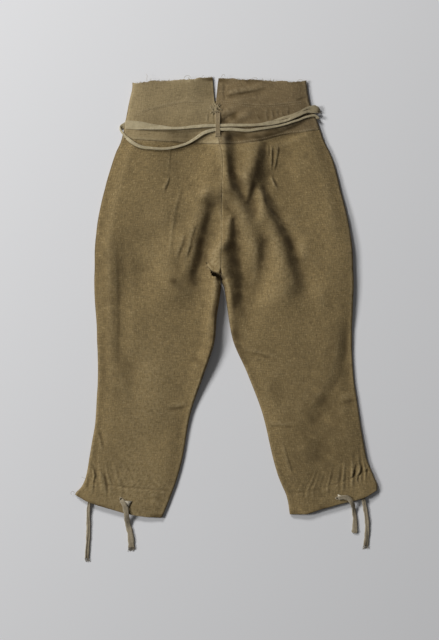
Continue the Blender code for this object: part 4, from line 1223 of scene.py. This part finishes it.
# The legs: khaki cotton drill, two backs and two fronts, with the hem casing turned up on
# each. The backs carry the darts, the folds of the seat and the burst in the seat seam.
DRILL = Cotton(
    yarn=(0.208, 0.147, 0.062), pale=(0.335, 0.255, 0.130), dark=(0.096, 0.064, 0.025),
    pitch=0.00085, run=3.0, flecks=0.9, clouds=0.24, relief=0.00035, sheen=0.08,
)
LEG_STEP = 1.7
FRONT_STEP = 7.0
Hole = namedtuple("Hole", "x down length width turn")
SLOTS = {"left": [Hole(-225.5, 902.5, 13.0, 6.0, -62.0)], "right": [Hole(236.5, 896.5, 12.0, 5.5, 8.0)]}
SMALL_HOLES = {"left": [Hole(-45, 396.5, 4.0, 3.4, 20.0)], "right": []}
# the burst in the seat seam, along its upper edge and back along its lower one
TEAR = [
    (-44.5, 404), (-41, 406), (-37, 410.5), (-34, 413), (-29, 415), (-23, 417), (-17, 420), (-12, 423),
    (-10, 430), (-10, 446), (-17.5, 444), (-19.5, 436), (-22.5, 429.5), (-28, 425), (-33, 424.5),
    (-36, 421), (-36.5, 415), (-40, 409.5),
]
LEG_LEVELS = np.r_[
    np.arange(136, 412, 1.8), np.arange(412, 434, 1.1), np.arange(434, 560, 1.9), np.arange(560, 840, 2.9),
    np.linspace(840, 936, 50),
]
FRONT_LEVELS = np.r_[np.arange(120, 402, 9.4), np.arange(402, 440, 4.8), np.linspace(440, 936, 62)]
Cut = namedtuple("Cut", "width length area")
DRILL_MATERIAL = cotton_material("khaki_drill", DRILL)


def below(rows, side):
    """The top of a leg panel: a seam's line, and the seam's own gap below it."""
    seam = column(rows, side)
    return lambda across: seam(across) + SEAM


for side in SIDES:
    hem, burst = column(HEM, side), side == "left"
    points, lay = laid_panel(
        side, back_height, LEG_STEP, LEG_LEVELS, below(WAIST_SEAM, side), hem, burst=burst,
    )
    worn_and_lit, soiled = worn_and_soiled(points)
    back = cloth_piece(
        "back_leg_%s_cloth" % side, points, lay, CLOTH, DRILL_MATERIAL, rub=worn_and_lit, soil=soiled,
        holes=SLOTS[side] + SMALL_HOLES[side], tear=TEAR if burst else (),
    )
    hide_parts("back_leg_" + side)
    points, lay = laid_panel(
        side, front_height, FRONT_STEP, FRONT_LEVELS, below(FRONT_SEAM, side), hem,
    )
    front = cloth_piece("front_leg_%s_cloth" % side, points, lay, CLOTH, DRILL_MATERIAL, facing_up=False)
    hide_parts("front_leg_" + side)

# The sewing of the legs: single rows of khaki thread along the seat seam, the darts and
# the hem casings, and buttonhole stitches round the slots of the drawstrings.
KHAKI_THREAD = cotton_material("khaki_thread", DRILL._replace(yarn=(0.215, 0.155, 0.070), flecks=0.2))
THREAD_RADIUS = 0.34
STITCH = 3.0
SHORT_STITCH = 2.4
STITCH_GAP = 1.0
STITCH_PART = 0.5
STITCH_BOW = 0.30
STITCH_SUNK = 0.12


def stitch_row(path, stitch=STITCH, gap=STITCH_GAP):
    """Single stitches end to end along a path on the cloth, each a short bowed thread."""
    line = through([(x, down, 0.0) for x, down in path], STITCH_PART)
    each = round((stitch + gap) / STITCH_PART)
    rows = []
    for first in range(0, len(line) - each, each):
        places = line[first:first + round(stitch / STITCH_PART) + 1:2, :2]
        bow = STITCH_BOW * np.sin(np.linspace(0, math.pi, len(places))) - STITCH_SUNK
        rows.append(np.c_[places, bow])
    return rows


def set_on_back(rows, lift=0.0):
    """Threads given by their height over the cloth, set down on the back's outer face."""
    rows = [np.array(row, float) for row in rows]
    every = np.vstack(rows)
    tops = np.split(on_back(every[:, 0], every[:, 1]) + lift, np.cumsum([len(row) for row in rows])[:-1])
    return [np.c_[row[:, :2], row[:, 2] + top] for row, top in zip(rows, tops)]


SEAT_LEVELS = np.arange(150, 412, 12.0)
BESIDE_SEAM = 4.5
DARTS = [[(-131, 138), (-131, 172), (-126, 212)], [(92, 134), (94, 175), (97, 216)]]
seat_sewing = stitch_row([(CENTRE_X(level) - BESIDE_SEAM, level) for level in SEAT_LEVELS])
for dart in DARTS:
    seat_sewing += stitch_row(dart, stitch=SHORT_STITCH)
seat_thread = threads("seat_stitches", set_on_back(seat_sewing), THREAD_RADIUS, KHAKI_THREAD)

WORN_THREAD = cotton_material("worn_thread", DRILL._replace(yarn=(0.42, 0.35, 0.24), flecks=0.2))
HEM_LEVEL = 880
HEM_MARGIN = 7.0
HEM_POINTS = 12
SLOT_STITCHES = 46
SLOT_THREAD_RADIUS = 0.5
SLOT_THREAD_HEIGHT = 0.25
# how far a slot's stitches reach, as shares of its length, and of its width a little more
SLOT_REACH = (0.46, 0.56, 0.70)
SLOT_WIDER = 0.04


def slot_stitch(slot, angle):
    """One buttonhole stitch, from the rim of a slot outwards."""
    turn = math.radians(slot.turn)
    stitch = []
    for share in SLOT_REACH:
        u = slot.length * share * math.cos(angle)
        v = slot.width * (share + SLOT_WIDER) * math.sin(angle)
        x = slot.x + u * math.cos(turn) + v * math.sin(turn)
        down = slot.down - u * math.sin(turn) + v * math.cos(turn)
        stitch.append((x, down, SLOT_THREAD_HEIGHT))
    return stitch


hem_sewing, slot_sewing = [], []
for side in SIDES:
    low, high = sorted((float(OUTER_X[side](HEM_LEVEL)), float(INNER_X[side](HEM_LEVEL))))
    across = np.linspace(low + HEM_MARGIN, high - HEM_MARGIN, HEM_POINTS)
    hem_sewing += stitch_row([(x, float(CASING[side](x))) for x in across])
    for slot in SLOTS[side]:
        angles = np.linspace(0, 2 * math.pi, SLOT_STITCHES, endpoint=False)
        slot_sewing += [slot_stitch(slot, angle) for angle in angles]
hem_thread = threads("hem_stitches", set_on_back(hem_sewing), THREAD_RADIUS, KHAKI_THREAD)
slot_thread = threads("slot_stitches", set_on_back(slot_sewing), SLOT_THREAD_RADIUS, WORN_THREAD)

# The burst seam has loose yarns along its torn edge, and one hangs at the hem's corner.
TORN_EDGE = np.array([(-44, 404.5), (-37, 410.5), (-29, 415), (-17, 420), (-11, 424)])
TORN_ACROSS = (-43, -12)
TORN_REACH = (0.8, 3.4)
TORN_LEAN = 1.8
TORN_YARNS = 46
YARN_RADIUS = 0.28
YARN_STEP = 0.8
HEM_YARN = [(-327, 884, 7.5), (-332, 883, 6.5), (-335, 886, 5.0), (-334, 890, 3.5)]

chance = random.Random(7)
torn_yarns = []
for _ in range(TORN_YARNS):
    x = chance.uniform(*TORN_ACROSS)
    level = np.interp(x, *TORN_EDGE.T) + chance.uniform(-0.8, 0.6)
    reach, lean = chance.uniform(*TORN_REACH), chance.uniform(-TORN_LEAN, TORN_LEAN)
    yarn = [(x, level - 2, -0.2), (x + lean / 2, level + reach / 2, -0.6), (x + lean, level + reach, -1.8)]
    torn_yarns.append(through(yarn, YARN_STEP))
torn_yarns = set_on_back(torn_yarns)
torn_yarns.append(through(HEM_YARN, YARN_STEP))
torn = threads("torn_yarns", torn_yarns, YARN_RADIUS, KHAKI_THREAD)


# The waistband: the same drill, doubled, in two halves parted by the split at the back.
# Its top edge was cut raw and frays; two rows of stitches hold the facing inside it.
WAIST_TOP = [
    Edge(0.0, 13, 8.5), Edge(0.08, 12, 8), Edge(0.14, 11, 10.5), Edge(0.3, 8, 8.5), Edge(0.55, 7, 6.5),
    Edge(0.8, 3, 4), Edge(1.0, -1, 1),
]
FRONT_TOP = [Edge(0.0, 14, 16), Edge(0.5, 30, 31), Edge(1.0, 44, 44)]
# The right half of the band is given a darker cotton than the left: painted shade on that half.
BAND_COTTON_WITH_PAINTED_SHADE = {
    "left": DRILL._replace(yarn=(0.290, 0.220, 0.112), pale=(0.41, 0.33, 0.19), clouds=0.34, flecks=0.55),
    "right": DRILL._replace(yarn=(0.170, 0.120, 0.058), pale=(0.29, 0.225, 0.125), clouds=0.46, flecks=0.75),
}
BAND_LEVELS = np.arange(0.0, 138.1, 2.0)
FRONT_BAND_LEVELS = np.linspace(0.0, 116.0, 24)
BAND_STEP = 2.0
FRONT_BAND_STEP = 6.0
BAND_THICKNESS = 1.9
DOUBLED = 0.9
DOUBLED_FROM = 6.0
# how worn the band is along its raw top and beside the split, and how far in that goes
TOP_RUB, TOP_RUB_REACH = 0.9, 2.5
SPLIT_RUB, SPLIT_RUB_REACH = 0.5, 2.0


def raw_top(side):
    """The cut top edge of one half of the band, a little uneven."""
    top, number = column(WAIST_TOP, side), SIDES.index(side)

    def at(share):
        across = share * USUAL_WIDTH
        coarse = 1.3 * ripple(across, share * 0 + number, 9, 21)
        return top(share) + coarse + 0.8 * ripple(across, share * 0, 4, 22)

    return at


for side in SIDES:
    material = cotton_material("waistband_drill_" + side, BAND_COTTON_WITH_PAINTED_SHADE[side])
    seam = column(WAIST_SEAM, side)
    points, lay = laid_panel(side, back_height, BAND_STEP, BAND_LEVELS, raw_top(side), seam, inner_roll=False)
    points[..., 2] += DOUBLED * ease(np.abs(lay[..., 0]) / (DOUBLED_FROM * MM))
    worn_and_lit, soiled = worn_and_soiled(points)
    from_top = points[..., 1] - points[:1, :, 1]
    from_split = np.abs(points[..., 0] - INNER_X[side](points[..., 1]))
    worn_and_lit = worn_and_lit + TOP_RUB * np.exp(-from_top / TOP_RUB_REACH)
    worn_and_lit = np.clip(worn_and_lit + SPLIT_RUB * np.exp(-from_split / SPLIT_RUB_REACH), 0, 1)
    back = cloth_piece(
        "waistband_back_%s_cloth" % side, points, lay, BAND_THICKNESS, material, rub=worn_and_lit, soil=soiled,
    )
    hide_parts("waistband_back_" + side)
    points, lay = laid_panel(
        side, front_height, FRONT_BAND_STEP, FRONT_BAND_LEVELS, column(FRONT_TOP, side),
        column(FRONT_SEAM, side), inner_roll=False,
    )
    front = cloth_piece("waistband_front_%s_cloth" % side, points, lay, CLOTH, material, facing_up=False)
    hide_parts("waistband_front_" + side)


# Two rows of stitches run across each half of the band, one row along the waist seam, and
# two short rows hold a strengthening strip beside the split. The cut top edge frays.
BAND_ROWS = {
    "left": [(-206, 77), (-180, 74), (-151, 62), (-98, 54.5), (-60, 52), (-37, 50.5)],
    "right": [(-14, 50.5), (20, 55), (70, 59.5), (120, 56), (160, 51.5)],
}
ROW_DISTANCE = 4.6
ABOVE_SEAM = 3.2
SEAM_STITCH, SEAM_GAP = 7.0, 0.2
SEAM_THREAD_RADIUS = 0.55
SEAM_SHARES = np.linspace(0.05, 0.97, 14)
STRIP_ROWS = (-43.0, -34.5)
STRIP_BEND = [(0.0, 57), (-0.5, 78), (0.0, 98)]
PALE_THREAD = cotton_material(
    "pale_thread", BAND_COTTON_WITH_PAINTED_SHADE["left"]._replace(yarn=(0.36, 0.29, 0.17), flecks=0.2),
)


def across_half(side, share, level):
    """Where a share of the way from the side to the split or inseam lies, at a level."""
    outer, inner = float(OUTER_X[side](level)), float(INNER_X[side](level))
    return outer + (inner - outer) * share


band_sewing, seam_sewing = [], []
for side in SIDES:
    for shift in (0.0, ROW_DISTANCE):
        band_sewing += stitch_row([(x, down + shift) for x, down in BAND_ROWS[side]])
    seam = column(WAIST_SEAM, side)
    path = []
    for share in SEAM_SHARES:
        level = float(seam(share)) - ABOVE_SEAM
        path.append((across_half(side, share, level), level))
    band_sewing += stitch_row(path)
    on_seam = [(x, level + ABOVE_SEAM + 0.1) for x, level in path]
    seam_sewing += stitch_row(on_seam, stitch=SEAM_STITCH, gap=SEAM_GAP)
for x in STRIP_ROWS:
    band_sewing += stitch_row([(x + aside, down) for aside, down in STRIP_BEND], stitch=SHORT_STITCH)
band_thread = threads("waistband_stitches", set_on_back(band_sewing, DOUBLED), THREAD_RADIUS, PALE_THREAD)
seam_thread = threads("waist_seam_thread", set_on_back(seam_sewing, 0.3), SEAM_THREAD_RADIUS, KHAKI_THREAD)

# six longer threads that stand up from the raw edge
LOOSE_THREADS = [
    [(-172, 12, 10), (-173, 4, 11.5), (-172, -2, 10), (-174, -7, 8)],
    [(-94, 6, 10), (-92, 0, 12), (-86, -3, 11), (-80, 0, 10), (-84, 4, 10)],
    [(-56, 5, 10), (-55, -1, 12), (-51, -4, 10)],
    [(-15, 2, 10), (-12, -4, 11.5), (-8, -5, 10), (-6, 0, 10)],
    [(47, 8, 10), (52, 3, 12), (60, 2, 11.5), (63, 5, 10)],
    [(146, 10, 9), (152, 6, 11), (160, 7, 10), (168, 10, 8)],
]
TOP_YARNS = 120
TOP_YARN_RADIUS = 0.27
TOP_YARN_REACH = (1.2, 3.4)
TOP_YARN_LEAN = 1.6
# one yarn in twelve is a long one
LONG_FROM, LONGER = 0.92, 1.4

chance = random.Random(11)
top_yarns = []
for side in SIDES:
    top = column(WAIST_TOP, side)
    for _ in range(TOP_YARNS):
        share = chance.uniform(0.02, 0.99)
        level = float(top(share)) + 1.5
        x = across_half(side, share, level)
        reach = chance.uniform(*TOP_YARN_REACH) * (1.0 + (chance.random() > LONG_FROM) * LONGER)
        lean = chance.uniform(-TOP_YARN_LEAN, TOP_YARN_LEAN)
        height = -chance.uniform(0.3, 1.6)
        middle = (x + lean * 0.4, level - reach * 0.5, height + 0.4)
        end = (x + lean, level - reach, height - chance.uniform(0.0, 1.4))
        top_yarns.append(through([(x, level + 2, height), middle, end], 0.9))
top_yarns = set_on_back(top_yarns, DOUBLED) + [through(line, 1.2) for line in LOOSE_THREADS]
top_fray = threads("waist_top_fray", top_yarns, TOP_YARN_RADIUS, PALE_THREAD)


# The belt loop: a narrow folded strip of drill over the split, bar-tacked at both ends,
# with the two tapes under it.
LOOP_X = -21.5
LOOP_WIDTH = 10.0
LOOP_ENDS = (77.0, 127.0)
LOOP_OVER_TAPES = 2.6
LOOP_THICKNESS = 1.2
LOOP_ROWS, LOOP_COLUMNS = 40, 13
# how far below its sewn top and over which length it rises, and how fast it comes down
LOOP_SEWN, LOOP_RISES, LOOP_FALLS = 4.0, 17.0, 6.0
LOOP_COTTON = BAND_COTTON_WITH_PAINTED_SHADE["left"]._replace(yarn=(0.238, 0.180, 0.102))
# the ridge of its stitched rims, and how its folded edges turn down
RIM_RIDGE, RIM_AT, RIM_WIDE = 0.45, 0.40, 0.06
RIM_TURNS, TURN_FROM, TURN_WIDE = 0.7, 0.42, 0.08

rows = np.linspace(*LOOP_ENDS, LOOP_ROWS)
cols = np.linspace(-0.5, 0.5, LOOP_COLUMNS)
rise = ease((rows - LOOP_ENDS[0] - LOOP_SEWN) / LOOP_RISES)
rise = rise * ease((LOOP_ENDS[1] - 1 - rows) / LOOP_FALLS)
x = LOOP_X + cols[None, :] * (LOOP_WIDTH + 0.5 * np.sin(rows / 6.0)[:, None])
down = np.repeat(rows[:, None], len(cols), axis=1)
cloth_top = on_back(x, down)
under = cloth_top.max(axis=1, keepdims=True) * 0.6 + cloth_top * 0.4
from_middle = np.abs(cols)
rim = RIM_RIDGE * np.exp(-(((from_middle - RIM_AT) / RIM_WIDE) ** 2))
rim = rim - RIM_TURNS * ease((from_middle - TURN_FROM) / TURN_WIDE)
z = under + DOUBLED + CLOTH + 0.3 + rise[:, None] * LOOP_OVER_TAPES + rim[None, :]
lay = np.stack([x - LOOP_X, down, 0 * down], axis=-1) * MM
worn_and_lit = np.repeat(np.clip(1.6 * from_middle - 0.3, 0, 1)[None, :], len(rows), axis=0)
belt_loop = cloth_piece(
    "belt_loop_cloth", np.stack([x, down, z], axis=-1), lay, LOOP_THICKNESS,
    cotton_material("loop_drill", LOOP_COTTON), rub=worn_and_lit,
)
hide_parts("belt_loop")

# A star of bar tacks closes the foot of the split above the loop, and an oval of stitches
# holds the loop's lower end.
TACKS = [
    [(-39, 60), (-15, 77)], [(-15, 58), (-38, 78)], [(-41, 68), (-12, 68.5)], [(-26, 56), (-27, 81)],
    [(-28, 57.5), (-12.5, 72)], [(-39, 63), (-26, 80)], [(-34, 56), (-20, 80)], [(-19, 55), (-33, 81)],
]
TACK_POINTS = 9
TACK_RADIUS = 0.6
OVAL_STITCHES = 22
OVAL_DOWN = 125.5
OVAL_HALF = (6.2, 4.0)

tacks = []
for (x0, down0), (x1, down1) in TACKS:
    for shift in (-0.5, 0.5):
        line = np.linspace((x0 + shift, down0, 0.0), (x1 + shift, down1, 0.0), TACK_POINTS)
        line[:, 2] = 0.3 + 0.4 * np.sin(np.linspace(0, math.pi, TACK_POINTS))
        tacks.append(line)
tacks = set_on_back(tacks, DOUBLED + 0.9)
ovals = []
for angle in np.linspace(0, 2 * math.pi, OVAL_STITCHES, endpoint=False):
    out = np.array([OVAL_HALF[0] * math.cos(angle), OVAL_HALF[1] * math.sin(angle)])
    ovals.append([(*(out * reach + (LOOP_X, OVAL_DOWN)), CLOTH + 0.6) for reach in (0.85, 1.15)])
tack_thread = threads("loop_tacks", tacks + set_on_back(ovals, DOUBLED), TACK_RADIUS, PALE_THREAD)


# The waist tapes: plain woven beige cotton, 18 mm wide, each bunched and folded on itself
# where it was pulled through the loop, turned round a side and flat under the front.
TAPE_BEIGE = Cotton(
    yarn=(0.395, 0.325, 0.192), pale=(0.56, 0.49, 0.33), dark=(0.15, 0.112, 0.058),
    pitch=0.0007, run=2.0, flecks=0.35, clouds=0.35, relief=0.0003, sheen=0.15,
)
TAPE_COTTON = {"left": TAPE_BEIGE, "right": TAPE_BEIGE._replace(yarn=(0.345, 0.285, 0.165))}
TAPE_WIDTH = 18.5
TAPE_THICKNESS = 0.6
TAPE_GAP = 0.7
TAPE_STEP = 2.2
# Over the back each tape is a row of places with the width it shows there, and round its
# side and under the front a row of places with their height too.
OVER_BACK = {
    "left": [
        (-219, 101.5, 18.5), (-205, 102.5, 18.5), (-183, 104.5, 16.5), (-158, 107, 12), (-134, 108.8, 8.4),
        (-113, 110, 5.6), (-80, 107.6, 6.2), (-49, 104.6, 7.2), (-21, 104, 6.6), (8, 103.2, 6.2),
        (42, 103.6, 6.2), (68, 102.2, 5.8), (92, 98.4, 10), (121, 90.6, 13), (142, 83.2, 11.6),
        (160, 74.6, 12), (173, 69.6, 14.6),
    ],
    "right": [
        (195, 89, 3.2), (192, 85, 3.8), (185, 82.2, 4.6), (175, 83.6, 4.4), (164, 86.6, 4.4),
        (152, 91.6, 4.2), (142, 94.6, 4.4), (121, 101.6, 4.4), (92, 107.8, 4.6), (64, 111.8, 5.4),
        (42, 114.4, 6.0), (8, 112.2, 6.4), (-21, 112.4, 6.2), (-36, 115, 7), (-53, 121, 7), (-70, 132, 6),
        (-92, 143.8, 5), (-123, 152, 5), (-145, 153.4, 4.8), (-166, 152.2, 5.4), (-187, 148.6, 6.4),
        (-203, 140.6, 7.2), (-215, 130.4, 7),
    ],
}
ROUND_SIDE = {
    "left": [
        (184, 68.4, 10.8, 16.8), (192, 69, 9.2, 16.6), (196, 69.6, 5, 15), (192, 69.6, 1.7, 12),
        (184, 69, 0.35, 11), (168, 68, 0.35, 13), (130, 69, 0.35, 18), (90, 72, 0.35, 18),
        (52, 76, 0.35, 18),
    ],
    "right": [
        (-225, 118.5, 8.8, 6.5), (-229, 112, 6.0, 6.5), (-229.5, 107, 2.2, 8), (-224, 103.5, 0.35, 12.5),
        (-212, 101, 0.35, 16.5), (-170, 99, 0.35, 18), (-130, 97, 0.35, 18), (-92, 95, 0.35, 18),
    ],
}
# the tapes stand off the band where they bow between the side and the loop
Stands = namedtuple("Stands", "x left right")
TAPE_STANDS = [Stands(*row) for row in [
    (-219, 0, 0), (-150, 1.5, 0.5), (-95, 3.5, 1), (-60, 3.5, 2.5), (-30, 1, 1.5), (-10, 0.5, 0.5),
    (40, 2, 1), (110, 3.5, 2), (150, 3.5, 1), (190, 1, 0),
]]
TAPE_LOWEST = 0.35
TAPE_SHARES = np.linspace(0.0, 1.0, 27)
# a tape narrower than STRAND is bunched: how deep its creases are and how wide each is
STRAND = 13.0
CREASE_DEEP = 1.3
BUNCHED_WIDE, OPENED_WIDE = 0.06, 0.05
# the right half of the left tape lies open, and how fast it opens and closes
OPEN_FROM, OPEN_TO, OPEN_EASE = 80.0, 165.0, 20.0
RIPPLE_RISE = 0.35
FOLD_RISE = 1.5
FOLDED_OVER = 1.95
TIP_FROM, TIP_LENGTH, TIP_ROUND = 182.0, 13.0, 5.0
CREASE_SHADE, RIGHT_DARKER, TIP_SOIL = 0.7, 0.38, 0.5


def tape_section(width, share):
    """Offsets across and up of a tape that is folded over to a narrower width."""
    cut = np.minimum(TAPE_WIDTH, FOLDED_OVER * width)
    past = share * cut - width
    across = np.minimum(np.where(past < 0, share * cut - width / 2, width / 2 - past), width / 2 - 0.35)
    return across, FOLD_RISE * ease(past / 2.4 + 0.5) * ease((TAPE_WIDTH - width) / 2)


def tape_line(side):
    """The middle of a tape, with its width, from its end on the back to its end under the front."""
    stands = column(TAPE_STANDS, side)
    route = []
    for x, down, width in OVER_BACK[side]:
        rims = np.array([down - width / 2, down, down + width / 2])
        top = float(on_back(np.full(3, x), rims).max()) + stands(x)
        route.append((x, down, top + DOUBLED + TAPE_GAP, width))
    return through(route + ROUND_SIDE[side], TAPE_STEP)


def tape_headings(side, line):
    """Across and above a tape at each place, and where it has turned round the side."""
    start, end = OVER_BACK[side][0][0], OVER_BACK[side][-1][0]
    heading = unit(np.gradient(line[:, :2], axis=0), 0.01)
    across = np.c_[-heading[:, 1], heading[:, 0], 0 * line[:, 0]] * (1.0 if end > start else -1.0)
    turned = ease((np.abs(line[:, 0]) - abs(end)) / 8.0 + 0.5)
    beyond = np.arange(len(line)) >= np.abs(line[:, 0]).argmax() - 12
    turned = np.where(beyond, 1.0, turned)
    across = unit(across * (1.0 - turned[:, None]) + np.array([0.0, 1.0, 0.0]) * turned[:, None])
    above = np.cross(unit(np.gradient(line[:, :3], axis=0)), across)
    return across, above * np.sign(above[0, 2]), turned


for number, side in enumerate(SIDES):
    line = tape_line(side)
    across, above, turned = tape_headings(side, line)
    width = line[:, 3:4]
    share = TAPE_SHARES + 0 * width
    t = np.arange(len(line))[:, None] * TAPE_STEP + 0 * share
    out, up = tape_section(width, share)
    edge = np.clip(np.abs(2 * out / width), 0, 1)
    out = (out if side == "left" else -out) + RIPPLE_RISE * ripple(t, share * 6, 13, 31 + number)
    up = up + RIPPLE_RISE * ripple(t, share * 9, 7, 33 + number)
    bunched = ease((STRAND - width) / 4.0)
    middle = 0.29 + 0.20 * np.sin(t / 13.0 + 1.9 * number)
    crease = bunched * np.exp(-(((share - middle) / BUNCHED_WIDE) ** 2))
    x = line[:, :1]
    opened = ease((x - OPEN_FROM) / OPEN_EASE) * (1.0 - ease((x - OPEN_TO) / OPEN_EASE)) * (1.0 - bunched)
    middle = 0.36 + 0.05 * np.sin(t / 9.0)
    crease = crease + opened * np.exp(-(((share - middle) / OPENED_WIDE) ** 2))
    up = up - CREASE_DEEP * crease
    points = line[:, None, :3] + out[..., None] * across[:, None] + up[..., None] * above[:, None]
    on_top = (turned < 0.5) & (np.arange(len(line)) < np.abs(line[:, 0]).argmax() - 3)
    cloth_top = on_back(points[on_top][..., 0], points[on_top][..., 1]) + DOUBLED + 0.5
    points[on_top, :, 2] = np.maximum(points[on_top][..., 2], cloth_top + up[on_top] * 0.9)
    points[..., 2] = np.maximum(points[..., 2], TAPE_LOWEST)
    tip = ease((x - TIP_FROM) / TIP_LENGTH)
    points[..., 0] -= TIP_ROUND * tip * edge ** 3
    lay = np.stack([share * TAPE_WIDTH, t, 0 * t], axis=-1) * MM
    # The creases of each tape are painted darker, painted shade; the tape is also darker right of the middle
    # and at its tip.
    soil = np.clip(CREASE_SHADE * crease + RIGHT_DARKER * ease((x + 10) / 40.0) + TIP_SOIL * tip, 0, 1)
    piece = cloth_piece(
        "waist_tape_%s_cloth" % side, points, lay, TAPE_THICKNESS,
        cotton_material("waist_tape_cotton_" + side, TAPE_COTTON[side]),
        rub=np.clip(up / 2.2, 0, 0.5), soil=soil,
    )
    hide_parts("waist_tape_" + side)


# The shield behind the fly: a plain strip of drill that lies inside on the two fronts.
SHIELD_X = (-42.0, 4.0)
SHIELD_DOWN = (52.0, 246.0)
SHIELD_THICKNESS = 1.1
x, down = np.meshgrid(np.linspace(*SHIELD_X, 12), np.linspace(*SHIELD_DOWN, 44))
z = 2 * CLOTH + SEAM + 0.12 * (1 + ripple(x, down, 21, 41))
lay = np.stack([x, down, 0 * x], axis=-1) * MM
points = np.stack([x, down, z], axis=-1)
shield = cloth_piece("fly_shield_cloth", points, lay, SHIELD_THICKNESS, DRILL_MATERIAL)
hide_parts("fly_shield")
